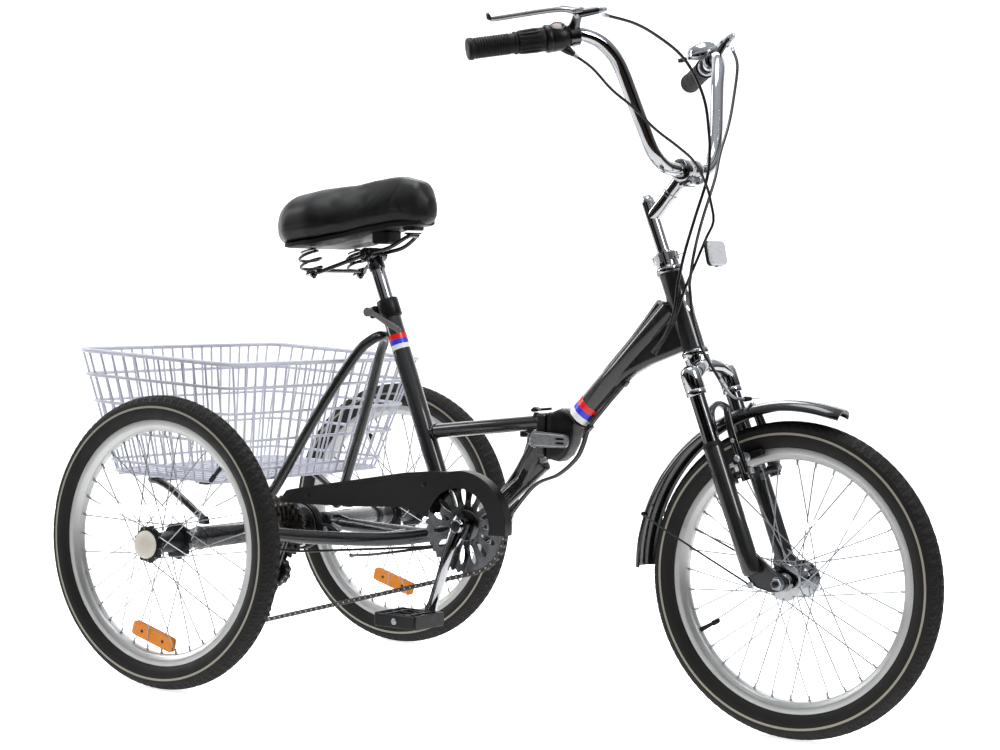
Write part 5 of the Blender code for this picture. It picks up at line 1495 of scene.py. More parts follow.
GEAR_RUN = [(0.41, 0, 0.254), (0.3, -0.016, 0.238), (0.18, -0.052, 0.226), (0.08, -0.086, 0.218)]
GEAR_RUN += [(0.01, -0.085, 0.222), (-0.01, -0.062, 0.205), (0.0, -0.058, 0.19)]
REAR_RUN = [(0.41, 0, 0.254), (0.33, -0.012, 0.24), (0.255, -0.02, 0.226), (0.19, 0.0, 0.214),
    (0.13, 0.026, 0.205)]


def make_cable(name, route, radius, shift=0.0):
    """A housed cable as one closed tube."""
    housing = Piece(name, "fork", pvc, zinc, grip_rubber)
    path = curve_through([at(x, y + shift, z) for x, y, z in route], 0.009)
    housing.tube(path, radius, 12)
    return housing, path


def make_cables():
    """Cables from the controls to the front brake and the frame, and the two housings under the frame."""
    upper, path = make_cable("front_brake_housing", FRONT_CABLE[:-4], 0.0025)
    upper.use(1)
    upper.turn([(-0.003, 0.0033), (0.006, 0.0033)], path[0], path[1] - path[0], 16)
    upper.done("cable_housing", ("front_brake_cable",))
    lower, path = make_cable("front_brake_housing_lower", FRONT_CABLE[-5:], 0.0025)
    made = lower.done("cable_housing", ride=False)
    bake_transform(made)

    front = Piece("front_brake_noodle", "fork_legs", pvc, zinc, grip_rubber)
    front.use(1)
    noodle = [path[-1], at(0.905, -0.04, 0.537), at(0.914, -0.036, 0.5275),
        at(0.918, -0.026, 0.5245), at(0.919, -0.01, 0.5235)]
    front.tube(curve_through(noodle, 0.003), 0.0023, 14)
    front.turn([(-0.004, 0.0034), (0.004, 0.0034)], path[-1], path[-1] - path[-2], 16)
    front.use(2)
    boot = at(0.919, -0.01, 0.5235)
    rings = [(0.0, 0.0036)]
    for i in range(6):
        rings += [(0.002 + i * 0.0036, 0.0042 - i * 0.0002), (0.0038 + i * 0.0036, 0.0034 - i * 0.0002)]
    front.turn(rings, boot, Y, 20)
    front.use(1)
    front.bar(boot + Y * 0.02, boot + Y * 0.052, 0.0008, 8)
    front.done("cable_housing")

    for name, route, node in (("rear_brake_housing", REAR_CABLE, "rear_brake_cable"),
            ("gear_housing", GEAR_CABLE, "gear_cable")):
        housing, path = make_cable(name, route, 0.0025 if node == "rear_brake_cable" else 0.0022)
        housing.use(1)
        housing.turn([(-0.003, 0.0033), (0.006, 0.0033)], path[0], path[1] - path[0], 16)
        housing.done("cable_housing", (node,))
    for name, route, radius in (("gear_housing_lower", GEAR_LOW, 0.0022),
            ("rear_brake_housing_lower", REAR_LOW, 0.0025)):
        lower, _ = make_cable(name, route, radius)
        made = lower.done("cable_housing", ride=False)
        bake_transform(made)
    for name, shift in (("under_frame_brake_housing", -0.0115), ("under_frame_gear_housing", -0.0055)):
        run, _ = make_cable(name, UNDER_BEAM, 0.0025, shift)
        made = run.done("cable_housing", ride=False)
        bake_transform(made)
    tail, path = make_cable("rear_brake_run", REAR_RUN, 0.0025, -0.0115)
    tail.use(1)
    tail.body = "rear_frame"
    tail.bar(path[-1], at(0.095, 0.0335, 0.23), 0.0009, 8)
    tail.bolt(path[-1], path[-1] - path[-2], 0.0036, 0.006, 12)
    tail.done("cable_housing")
    gear, _ = make_cable("gear_run", GEAR_RUN, 0.0022, -0.0055)
    gear.body = "rear_frame"
    gear.done("cable_housing")
    clip = Piece("cable_clips", "front_frame", satin_enamel)
    for x, z in ((0.634, 0.462), (0.7, 0.538)):
        clip.slab(rounded([(-0.006, -0.0145), (0.006, -0.0145), (0.006, -0.0025),
            (-0.006, -0.0025)], 0.002, 3), at(x, 0, z), Vector((0.68, 0, 0.73)), Y, -0.0042, 0.0042,
            0.001)
    clip.done("painted_frame")


# ---------------------------------------------------------------- saddle and seat post


def saddle_line(x):
    """The saddle's half width, lower edge and upper edge at a distance from the rear axle."""
    rows = [(0.005, 0.03, 0.757, 0.806), (0.02, 0.078, 0.7475, 0.829), (0.055, 0.1035, 0.746, 0.8405)]
    rows += [(0.105, 0.105, 0.752, 0.8465), (0.155, 0.083, 0.763, 0.8515), (0.2, 0.056, 0.777, 0.86)]
    rows += [(0.245, 0.0405, 0.7855, 0.8668), (0.285, 0.0345, 0.789, 0.8585), (0.306, 0.02, 0.796, 0.833)]
    for a, b in zip(rows, rows[1:]):
        if x <= b[0]:
            t = (x - a[0]) / (b[0] - a[0])
            t = t * t * (3 - 2 * t) * 0.5 + t * 0.5
            return [p + (q - p) * t for p, q in zip(a[1:], b[1:])]
    return rows[-1][1:]


def puffed(piece, most):
    """Swells a closed cover under air pressure, with no point moved over most metres."""
    remesh = piece.modifiers.new("Remesh", "REMESH")
    remesh.mode = "VOXEL"
    remesh.voxel_size = 0.005
    data = bpy.data.meshes.new_from_object(piece.evaluated_get(bpy.context.evaluated_depsgraph_get()))
    piece.modifiers.remove(remesh)
    looks = [slot.material for slot in piece.material_slots]
    piece.data = data
    if not data.materials:
        for look in looks:
            data.materials.append(look)
    before = [v.co.copy() for v in data.vertices]
    held = piece.vertex_groups.new(name="Held")
    low = min(v.co.z for v in data.vertices)
    high = max(v.co.z for v in data.vertices)
    for v in data.vertices:
        height = (v.co.z - low) / (high - low)
        if height < 0.22:
            held.add([v.index], 1.0, "REPLACE")
    cloth = piece.modifiers.new("Cloth", "CLOTH")
    cloth.settings.use_pressure = True
    cloth.settings.uniform_pressure_force = 4
    cloth.settings.effector_weights.gravity = 0
    cloth.settings.vertex_group_mass = "Held"
    cloth.settings.pin_stiffness = 1
    cloth.point_cache.frame_start = 1
    cloth.point_cache.frame_end = 20
    for step in range(1, 21):
        bpy.context.scene.frame_set(step)
    swollen = bpy.data.meshes.new_from_object(piece.evaluated_get(bpy.context.evaluated_depsgraph_get()))
    moved = [v.co - old for v, old in zip(swollen.vertices, before)]
    bpy.context.scene.frame_set(1)
    piece.modifiers.remove(cloth)
    for v, old, step in zip(data.vertices, before, moved):
        v.co = old + step * min(1.0, most / max(step.length, 1e-9))
    bpy.data.meshes.remove(swollen)
    bm = bmesh.new()
    bm.from_mesh(data)
    for _ in range(4):
        bmesh.ops.smooth_vert(bm, verts=bm.verts, factor=0.5, use_axis_x=True, use_axis_y=True,
            use_axis_z=True)
    bm.to_mesh(data)
    bm.free()
    finer = piece.modifiers.new("Finer", "SUBSURF")
    finer.levels = finer.render_levels = 1
    data = bpy.data.meshes.new_from_object(piece.evaluated_get(bpy.context.evaluated_depsgraph_get()))
    piece.modifiers.remove(finer)
    piece.data = data
    for made in data.polygons:
        made.use_smooth = True


def press_seams(piece):
    """Draws in the cover at its piping seam and along the creases where it is pulled round the nose."""
    for v in piece.data.vertices:
        x = v.co.x - REAR_AXLE.x
        half, low, high = saddle_line(max(0.005, min(0.306, x)))
        seam = low + (high - low) * 0.34
        side = min(1.0, abs(v.co.y) / max(half, 0.01))
        end = 1.0 if x > 0.29 or x < 0.02 else 0.0
        pull = math.exp(-(((v.co.z - seam) / 0.0016) ** 2)) * 0.0006 * max(side > 0.45, end)
        crease = 0.0
        for where, lean, reach in ((0.232, 0.5, 0.9), (0.262, -0.35, 1.0), (0.195, 0.8, 0.7),
                (0.17, 1.0, 0.6)):
            line = x - where - (v.co.z - seam) * lean
            height = (v.co.z - seam) / (high - seam + 1e-9)
            if 0.02 < height < 0.8 and side > 0.5:
                crease += math.exp(-((line / 0.0028) ** 2)) * (1 - height) * reach
        inward = Vector((0, -math.copysign(1, v.co.y), 0))
        v.co += inward * (pull + 0.0011 * min(crease, 1.2)) * min(1.0, half / 0.03)


def make_saddle():
    """The vinyl cover over its foam, swollen by its own padding, with the plastic base under it."""
    cover = Piece("saddle_cover", "saddle", vinyl)
    rings = []
    steps = 44
    for i in range(steps + 1):
        x = 0.006 + (0.305 - 0.006) * i / steps
        half, low, high = saddle_line(x)
        half -= 0.002
        high += 0.001 + 0.005 * max(0.0, (x - 0.15) / 0.15)
        low -= 0.002 + 0.003 * max(0.0, (x - 0.2) / 0.1)
        shut = min(1.0, max(0.0, min(i, steps - i) / 3.0))
        shut = 0.72 + 0.28 * math.sin(shut * math.pi / 2)
        ring = []
        for k in range(48):
            a = 2 * math.pi * k / 48
            c, s = math.cos(a), math.sin(a)
            c = math.copysign(abs(c) ** 0.72, c)
            s = math.copysign(abs(s) ** (0.62 if s < 0 else 0.92), s)
            groove = 0.0035 * math.exp(-((c / 0.22) ** 2)) * max(0.0, s) * max(0.0, 1 - abs(x - 0.1) / 0.12)
            middle = low + (high - low) * 0.45
            reach = (high - middle) if s > 0 else (middle - low)
            ring.append(at(x, half * c * shut, middle + reach * s * shut - groove))
        rings.append(ring)
    cover.skin(rings)
    thing = cover.done("saddle_vinyl", ("saddle_cushion",), sharp=180)
    puffed(thing, 0.005)
    press_seams(thing)

    base = Piece("saddle_base", "saddle", grip_rubber, zinc)
    rows = []
    for i in range(31):
        x = 0.024 + (0.292 - 0.024) * i / 30
        half, low, _ = saddle_line(x)
        shut = 0.7 + 0.18 * math.sin(min(1.0, min(i, 30 - i) / 4) * math.pi / 2)
        w = half * shut
        line = [(-w, 0.006), (-w, -0.001), (-w * 0.86, -0.0028), (w * 0.86, -0.0028), (w, -0.001),
            (w, 0.006)]
        rows.append([at(x, y, low + h + 0.0015) for y, h in line])
    base.skin(rows)
    base.slab(rounded([(-0.018, -0.022), (0.018, -0.022), (0.018, 0.022), (-0.018, 0.022)], 0.008),
        at(0.205, 0, 0.777), X, Y, -0.0215, 0.002, 0.003)
    base.slab(rounded([(-0.013, -0.016), (0.013, -0.016), (0.013, 0.016), (-0.013, 0.016)], 0.005),
        at(0.262, 0, 0.783), X, Y, -0.0035, 0.008, 0.002)
    base.use(1)
    for sign in (-1, 1):
        base.bolt(at(0.092, sign * 0.0625, 0.747), -Z, 0.0062, 0.004)
    base.done("saddle_vinyl")


def make_saddle_frame():
    """Two wire rails, the clamp on the post, and two open coil springs."""
    wire = Piece("saddle_rails", "seat", gloss_plastic)
    springs = Piece("saddle_springs", "seat", gloss_plastic)
    for sign in (-1, 1):
        route = [(0.263, 0.008, 0.771), (0.256, 0.014, 0.7665), (0.225, 0.019, 0.749),
            (0.178, 0.0205, 0.737)]
        route += [(0.13, 0.045, 0.716), (0.112, 0.06, 0.7065), (0.104, 0.066, 0.7035),
            (0.092, 0.066, 0.7035)]
        wire.tube(curve_through([at(x, y * sign, z) for x, y, z in route], 0.006), 0.0036, 14)
        foot = at(0.097, sign * 0.066, 0.7025)
        lean = Vector((-0.012, 0, 0.036)).normalized()
        u, v = square_to(lean)
        coil = []
        turns, count = 2.4, 120
        for i in range(count + 1):
            t = i / count
            grow = 0.02 - 0.004 * abs(2 * t - 1)
            climb = 0.002 + 0.035 * t
            a = 2 * math.pi * turns * t
            coil.append(foot + lean * climb + (u * math.cos(a) + v * math.sin(a)) * grow)
        springs.tube(coil, 0.0026, 10)
        wire.turn([(-0.0016, 0.0135), (0.0016, 0.0135)], foot, lean, 28)
        springs.turn([(-0.0016, 0.014), (0.001, 0.014)], foot + lean * 0.0395, lean, 28)
        wire.bolt(foot - lean * 0.0016, -lean, 0.0062, 0.005)
        wire.bolt(foot - lean * 0.0066, -lean, 0.0035, 0.003, 12)
    wire.bar(at(0.262, -0.014, 0.771), at(0.262, 0.014, 0.771), 0.004)
    wire.slab(rounded([(-0.01, -0.014), (0.01, -0.014), (0.01, 0.014), (-0.01, 0.014)], 0.004),
        at(0.262, 0, 0.774), X, Y, -0.001, 0.002)
    wire.bar(at(0.104, -0.064, 0.707), at(0.104, 0.064, 0.707), 0.0034)
    wire.done("black_plastic", ("saddle_frame",))
    coils = springs.done("black_plastic", ride=False)
    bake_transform(coils)

    clamp = Piece("saddle_clamp", "seat", gloss_plastic)
    head = seat(0.087)
    along = Vector((0.0, 1.0, 0.0))
    clamp.turn([(-0.019, 0.0105), (-0.0178, 0.0122), (-0.01, 0.0128), (0.01, 0.0128),
        (0.0178, 0.0122), (0.019, 0.0105)], head, along, 36)
    clamp.turn([(-0.022, 0.0128), (-0.0205, 0.0145), (-0.002, 0.0145), (0, 0.0135)], seat(0.08),
        SEAT_UP, 36)
    for sign in (-1, 1):
        clamp.turn([(0, 0.0105), (0.0022, 0.0125), (0.0075, 0.0125), (0.0095, 0.01)],
            head + along * sign * 0.0165, along * sign, 32)
        clamp.bolt(head + along * sign * 0.0255, along * sign, 0.0068, 0.0052)
        clamp.bolt(head + along * sign * 0.0305, along * sign, 0.0036, 0.003, 14)
    clamp.done("black_plastic")

    post = Piece("seat_post_tube", "seat", chrome, zinc)
    post.turn([(-0.15, 0.01), (-0.15, 0.0122), (-0.1485, 0.0127), (0.062, 0.0127), (0.07, 0.0112),
        (0.086, 0.011)], SEAT_TOP, SEAT_UP, 56)
    post.done("chrome", ("seat_post",))


def make_seat_clamp():
    """The collar on the seat tube's mouth, its bolt, and the quick-release lever."""
    collar = Piece("seat_collar", "rear_frame", satin_enamel, zinc)
    profile = [(-0.028, 0.0162), (-0.028, 0.0182), (-0.0265, 0.0192), (0.002, 0.0192),
        (0.0035, 0.0184), (0.0035, 0.0132)]
    collar.turn(profile, SEAT_TOP, SEAT_UP, 56, loop=True)
    for sign in (-1, 1):
        outline = rounded([(-0.0095, -0.013), (0.0095, -0.013), (0.0095, 0.005), (-0.0095, 0.005)], 0.0035)
        low, high = sorted((sign * 0.0028, sign * 0.0125))
        collar.slab(outline, seat(-0.009, -0.0235), SEAT_UP, SEAT_AHEAD, -high, -low, 0.0012)
    collar.use(1)
    collar.bar(seat(-0.009, -0.026, -0.019), seat(-0.009, -0.026, 0.019), 0.003)
    collar.turn([(0, 0.0075), (0.0045, 0.0078), (0.006, 0.0065)], seat(-0.009, -0.026, 0.0135), Y, 24)
    collar.bolt(seat(-0.009, -0.026, 0.019), Y, 0.005, 0.004)
    collar.done("painted_frame", ("seat_clamp",))

    lever = Piece("seat_release_lever", "seat_lever", grey_nylon, zinc)
    start = seat(-0.009, -0.026, -0.0255)
    lever.turn([(0.0035, 0.006), (0.003, 0.0078), (-0.005, 0.008), (-0.0062, 0.0066)], start, Y, 32)
    route = [start + Vector((-0.003, -0.001, 0.002)), start + Vector((0.014, -0.0035, -0.003)),
        start + Vector((0.038, -0.0055, -0.014)), start + Vector((0.074, -0.005, -0.031))]
    path = curve_through(route, 0.004)
    widths = [0.0038 + 0.0016 * math.sin(min(1.0, i / (len(path) - 1) * 1.25) * math.pi
        * 0.5) for i in range(len(path))]
    widths[-1] = 0.0032
    lever.tube(path, widths, 18, flat=0.5, upright=Y)
    lever.done("black_plastic", ("seat_clamp_lever",))


# ---------------------------------------------------------------- basket


def basket_point(t, u, out=0.0):
    """A point on the basket's wall: t runs round it from the right rear corner, u from floor to rim."""
    back = -0.233 + (-0.272 + 0.233) * u
    ahead = 0.036 + (0.094 - 0.036) * u
    half = 0.228 + (0.277 - 0.228) * u
    corner = 0.034
    x0, x1, w = back + 0.0035 - out, ahead - 0.0035 + out, half - 0.0035 + out
    sides = [(x0 + corner, -w, x1 - corner, -w), (x1, -w + corner, x1, w - corner)]
    sides += [(x1 - corner, w, x0 + corner, w), (x0, w - corner, x0, -w + corner)]
    centres = [(x1 - corner, -w + corner, -90), (x1 - corner, w - corner, 0)]
    centres += [(x0 + corner, w - corner, 90), (x0 + corner, -w + corner, 180)]
    bend = corner * math.pi / 2
    lengths = []
    for ax, ay, bx, by in sides:
        lengths += [math.hypot(bx - ax, by - ay), bend]
    walk = (t % 1.0) * sum(lengths)
    for k, length in enumerate(lengths):
        if walk <= length or k == 7:
            part = min(1.0, walk / length)
            if k % 2 == 0:
                ax, ay, bx, by = sides[k // 2]
                x, y = ax + (bx - ax) * part, ay + (by - ay) * part
            else:
                cx, cy, start = centres[k // 2]
                a = math.radians(start + 90 * part)
                x, y = cx + corner * math.cos(a), cy + corner * math.sin(a)
            break
        walk -= length
    low = 0.3465 - 0.012 * (x + 0.233)
    high = 0.56 - 0.036 * (x + 0.272)
    return at(x, y, low + (high - low) * u)


def make_basket():
    """Welded wire tub: heavy rim and floor wires, thin uprights close together, and a floor mesh."""
    wire = sizes().basket_wire / 2
    tub = Piece("basket_wires", "rear_frame", powder_coat)
    around_it = 200
    for u, radius, out in ((1.0, 0.0042, 0), (0.8, 0.003, 0.0026), (0.0, 0.0032, 0),
            (0.09, 0.0026, 0.0026)):
        tub.tube([basket_point(i / around_it, u, out) for i in range(around_it)], radius, 10, loop=True)
    for u in (0.34, 0.58):
        tub.tube([basket_point(i / around_it, u, 0.0026) for i in range(around_it)], 0.0026, 8, loop=True)
    length = 2 * ((0.36 + 0.52) - 4 * 0.034) + 2 * math.pi * 0.034
    count = int(round(length / sizes().basket_gap))
    for i in range(count):
        t = i / count
        tub.tube([basket_point(t, u / 6) for u in range(7)], wire, 8)
    floor_z = 0.3455
    for i in range(17):
        y = -0.21 + 0.42 * i / 16
        tub.tube([at(x, y, floor_z - 0.012 * (x + 0.233)) for x in (-0.228, -0.1, 0.031)], wire, 8)
    for i in range(7):
        x = -0.205 + 0.215 * i / 6
        tub.bar(at(x, -0.2235, floor_z - 0.003 - 0.012 * (x + 0.233)),
            at(x, 0.2235, floor_z - 0.003 - 0.012 * (x + 0.233)), 0.0022, 8)
    tub.done("white_wire", ("basket",))

    clips = Piece("basket_clips", "rear_frame", gloss_plastic, zinc)
    for x, y in ((-0.15, -0.12), (-0.15, 0.12), (-0.02, -0.198), (-0.02, 0.198)):
        z = 0.3385 if x < -0.1 else 0.335
        clips.slab(rounded([(-0.01, -0.016), (0.01, -0.016), (0.01, 0.016), (-0.01, 0.016)], 0.004),
            at(x, y, z), X, Y, 0.0, 0.0035, 0.001)
        clips.use(1)
        clips.bolt(at(x, y, z + 0.0035), Z, 0.0045, 0.003)
        clips.use(0)
    clips.done("black_plastic")


# ---------------------------------------------------------------- drive

RING_TEETH, COG_TEETH, PULLEY_TEETH = 40, 20, 11
CHAIN_Y, COG_Y = -0.05, -0.034
GUIDE, TENSION = (0.004, 0.172), (-0.034, 0.1)
CRANK_BACK = math.radians(17.7)
CRANK = 0.16


def pitch_radius(teeth):
    return sizes().chain_pitch / (2 * math.sin(math.pi / teeth))


def open_belt(centre_a, radius_a, centre_b, radius_b, side):
    """The angle at which a straight run leaves circle a and meets the same side of circle b."""
    gap = Vector((centre_b[0] - centre_a[0], centre_b[1] - centre_a[1]))
    return math.atan2(gap.y, gap.x) + side * math.acos((radius_a - radius_b) / gap.length)


def crossed_belt(centre_a, radius_a, centre_b, radius_b, side):
    """The same, for a run that crosses to the other side of circle b."""
    gap = Vector((centre_b[0] - centre_a[0], centre_b[1] - centre_a[1]))
    return math.atan2(gap.y, gap.x) + side * math.acos((radius_a + radius_b) / gap.length)


def swept(centre, radius, start, end, y):
    """Points round a toothed wheel, close enough to count as a curve."""
    count = max(2, int(abs(end - start) / math.radians(2)))
    angles = [start + (end - start) * i / count for i in range(count + 1)]
    return [at(centre[0] + radius * math.cos(a), y, centre[1] + radius * math.sin(a)) for a in angles]


def chain_path():
    """The chain's closed centre line."""
    ring = (BRACKET.x - REAR_AXLE.x, BRACKET.z)
    cog = (0.0, REAR_AXLE.z)
    big, small, little = pitch_radius(RING_TEETH), pitch_radius(COG_TEETH), pitch_radius(PULLEY_TEETH)
    whole = 2 * math.pi
    top = open_belt(ring, big, cog, small, -1)
    low = open_belt(TENSION, little, ring, big, -1)
    back = crossed_belt(cog, small, GUIDE, little, -1)
    middle = crossed_belt(GUIDE, little, TENSION, little, 1)
    path = swept(ring, big, low, low + (top - low) % whole, CHAIN_Y)
    path += swept(cog, small, top, top + (back - top) % whole, COG_Y)
    start = back + math.pi
    path += swept(GUIDE, little, start, start - (start - middle) % whole, COG_Y)
    start = middle + math.pi
    return path + swept(TENSION, little, start, start + (low - start) % whole, COG_Y)


def along_path(path, count):
    """Points at equal spacing round a closed path."""
    steps = [(b - a).length for a, b in zip(path, [*path[1:], path[0]])]
    total = sum(steps)
    made = []
    k, walked = 0, 0.0
    for i in range(count):
        want = total * i / count
        while walked + steps[k] < want:
            walked += steps[k]
            k += 1
        a, b = path[k], path[(k + 1) % len(path)]
        made.append(a.lerp(b, (want - walked) / max(steps[k], 1e-9)))
    return made, total


def make_chain():
    """Roller chain: pinched outer and inner plates, rollers and pin heads."""
    path = chain_path()
    _, total = along_path(path, 4)
    count = 2 * round(total / sizes().chain_pitch / 2)
    pins, _ = along_path(path, count)
    links = Piece("chain_links", "rear_frame", oiled_steel, zinc)
    for i, pin in enumerate(pins):
        after = pins[(i + 1) % count]
        along = (after - pin).normalized()
        up = along.cross(Y).normalized()
        reach = (after - pin).length
        outer = i % 2 == 0
        waist, end_r = 0.0026, 0.0041
        outline = []
        for k in range(9):
            a = math.radians(90 + 180 * k / 8)
            outline.append((end_r * math.cos(a), end_r * math.sin(a)))
        outline.append((reach / 2, -waist))
        for k in range(9):
            a = math.radians(-90 + 180 * k / 8)
            outline.append((reach + end_r * math.cos(a), end_r * math.sin(a)))
        outline.append((reach / 2, waist))
        y = 0.0032 if outer else 0.0021
        w = along.cross(up)
        for sign in (-1, 1):
            low, high = sorted((sign * y, sign * (y + 0.001)))
            links.slab(outline, pin, along, up, low, high, 0.0002)
        links.use(1)
        links.bar(pin - w * 0.0046, pin + w * 0.0046, 0.0018, 10, 0.0003)
        links.use(0)
        links.bar(pin - w * 0.0021, pin + w * 0.0021, 0.0038, 12, 0.0003)
    links.done("steel", ("chain",))


def toothed(teeth, root, tip, count=6):
    """The outline of a sprocket."""
    made = []
    for i in range(teeth):
        for k in range(count):
            a = 2 * math.pi * (i + k / count) / teeth
            wave = (0.5 + 0.5 * math.cos(2 * math.pi * k / count)) ** 0.7
            r = root + (tip - root) * wave
            made.append((r * math.cos(a), r * math.sin(a)))
    return made


def ring_outline(radius, count=40):
    return [(radius * math.cos(2 * math.pi * i / count),
        radius * math.sin(2 * math.pi * i / count)) for i in range(count)]


def make_cranks():
    """Chainring with its petal slots, spindle caps and square-tapered cranks."""
    base = BRACKET + Y * CHAIN_Y
    ring = Piece("chainring_disc", "crank_set", dark_chrome, satin_enamel)
    pitch = pitch_radius(RING_TEETH)
    loops = [toothed(RING_TEETH, pitch - 0.0044, pitch + 0.0012)]
    for i in range(15):
        a = 2 * math.pi * i / 15
        centre = Vector((math.cos(a), math.sin(a))) * 0.05
        along, cross = Vector((math.cos(a), math.sin(a))), Vector((-math.sin(a), math.cos(a)))
        slot = []
        for k in range(20):
            b = 2 * math.pi * k / 20
            wide = 0.005 * (1 + 0.28 * math.cos(b))
            slot.append(tuple(centre + along * 0.0165 * math.cos(b) + cross * wide * math.sin(b)))
        loops.append(slot)
    loops.append(ring_outline(0.0084))
    ring.pierced(loops, base, X, Z, -0.0012, 0.0012)
    ring.turn([(-0.003, 0.024), (-0.0022, 0.0262), (-0.0012, 0.027), (-0.0012, 0.009),
        (-0.003, 0.009)], base, Y, 56, loop=True)
    ring.done("chrome", ("chainring",))

    reach = Vector((-math.sin(CRANK_BACK), 0, -math.cos(CRANK_BACK)))
    for side, sign in (("right", -1), ("left", 1)):
        out = Y * sign
        down = reach * -sign
        arm = Piece(f"crank_arm_{side}", "crank_set", chrome, satin_enamel, zinc)
        across_it = down.cross(out)
        rings = []
        for d, y, wide, thick in (
            (-0.014, 0.0662, 0.012, 0.006), (-0.006, 0.0662, 0.015, 0.0075),
                (0.006, 0.0665, 0.0152, 0.0078),
            (0.018, 0.0715, 0.0125, 0.0066), (0.04, 0.0768, 0.0104, 0.0058), (0.09, 0.0784, 0.0088, 0.0054),
            (0.138, 0.08, 0.0086, 0.0056), (0.15, 0.0803, 0.011, 0.0064), (0.16, 0.0804, 0.0122, 0.0066),
            (0.168, 0.0804, 0.01, 0.006), (0.1715, 0.0804, 0.006, 0.004),
        ):
            middle = BRACKET + down * d + out * y
            corner = 0.45
            shape = [(1, -corner), (1, corner), (corner, 1), (-corner, 1), (-1, corner),
                (-1, -corner), (-corner, -1), (corner, -1)]
            rings.append([middle + across_it * wide * p + out * thick * q for p, q in shape])
        arm.skin(rings)
        arm.turn([(0.0005, 0.01), (0.002, 0.0112), (0.006, 0.0112), (0.0075, 0.0095)],
            BRACKET + out * 0.0725, out, 32)
        arm.use(1)
        arm.turn([(0.005, 0.009), (0.0082, 0.0088), (0.0092, 0.007), (0.0094, 0.002)],
            BRACKET + out * 0.0725, out, 32)
        arm.use(2)
        arm.turn([(0, 0.0074), (0.0012, 0.0078), (0.0026, 0.0074)],
            BRACKET + down * 0.16 + out * 0.0855, out, 24)
        arm.use(0)
        if sign < 0:
            arm.bar(BRACKET - Y * 0.059, BRACKET + Y * 0.059, 0.0076, 24)
        arm.done("alloy", (f"crank_{side}",))

        pedal = Piece(f"pedal_{side}_body", "pedal_r" if sign < 0 else "pedal_l", moulded_plastic, zinc)
        end = BRACKET + down * CRANK
        centre = end + out * 0.137
        pedal.bar(end + out * 0.087, end + out * 0.178, 0.0052, 20)
        pedal.turn([(0.094, 0.0085), (0.096, 0.0098), (0.106, 0.01), (0.11, 0.0085),
            (0.166, 0.0078), (0.175, 0.0092), (0.178, 0.008)], end, out, 28)
        for x in (-0.0395, 0.0395):
            pedal.slab(rounded([(-0.04, -0.0115), (0.04, -0.0115), (0.04, 0.0115), (-0.04, 0.0115)],
                0.004), centre + X * x, Y, Z, -0.0032, 0.0032, 0.0008)
        for y in (-0.0385, 0.0385):
            pedal.slab(rounded([(-0.04, -0.0105), (0.04, -0.0105), (0.04, 0.0105), (-0.04, 0.0105)],
                0.004), centre + Y * y, X, Z, -0.003, 0.003, 0.0008)
        for z in (-0.008, 0.008):
            for x in (-0.021, 0.021):
                pedal.slab(rounded([(-0.0032, -0.038), (0.0032, -0.038), (0.0032, 0.038),
                    (-0.0032, 0.038)], 0.001), centre + X * x + Z * z, X, Y, -0.0032, 0.0032,
                    0.0006)
            for y in (-0.022, 0.0, 0.022):
                pedal.slab([(-0.038, -0.0024), (0.038, -0.0024), (0.038, 0.0024), (-0.038, 0.0024)],
                    centre + Y * y + Z * z * 0.9, X, Y, -0.0028, 0.0028, 0.0005)
        pedal.use(1)
        pedal.bolt(end + out * 0.178, out, 0.0058, 0.003, 6)
        pedal.done("black_plastic", (f"pedal_{side}",))


def make_freewheel():
    """Six toothed sprockets with spacers on the ratchet body."""
    hub = Piece("sprocket_cluster", "sprockets", oiled_steel, zinc)
    base = REAR_AXLE + Y * (COG_Y - 0.0148)
    for teeth, low in ((14, 0.001), (16, 0.0052), (18, 0.0094), (COG_TEETH, 0.0138), (24, 0.0182),
            (28, 0.0222)):
        pitch = pitch_radius(teeth)
        loops = [toothed(teeth, pitch - 0.0042, pitch + 0.0012), ring_outline(0.01)]
        hub.pierced(loops, base, X, Z, -low - 0.0019, -low)
    hub.turn([(0, 0.01), (0, 0.02), (0.001, 0.021), (0.026, 0.0235), (0.036, 0.0235),
        (0.0365, 0.01)], base, Y, 40, loop=True)
    hub.use(1)
    hub.turn([(-0.0012, 0.0102), (-0.0012, 0.017), (0.0002, 0.018), (0.0002, 0.0102)], base, Y, 40,
        loop=True)
    hub.done("steel", ("freewheel",))


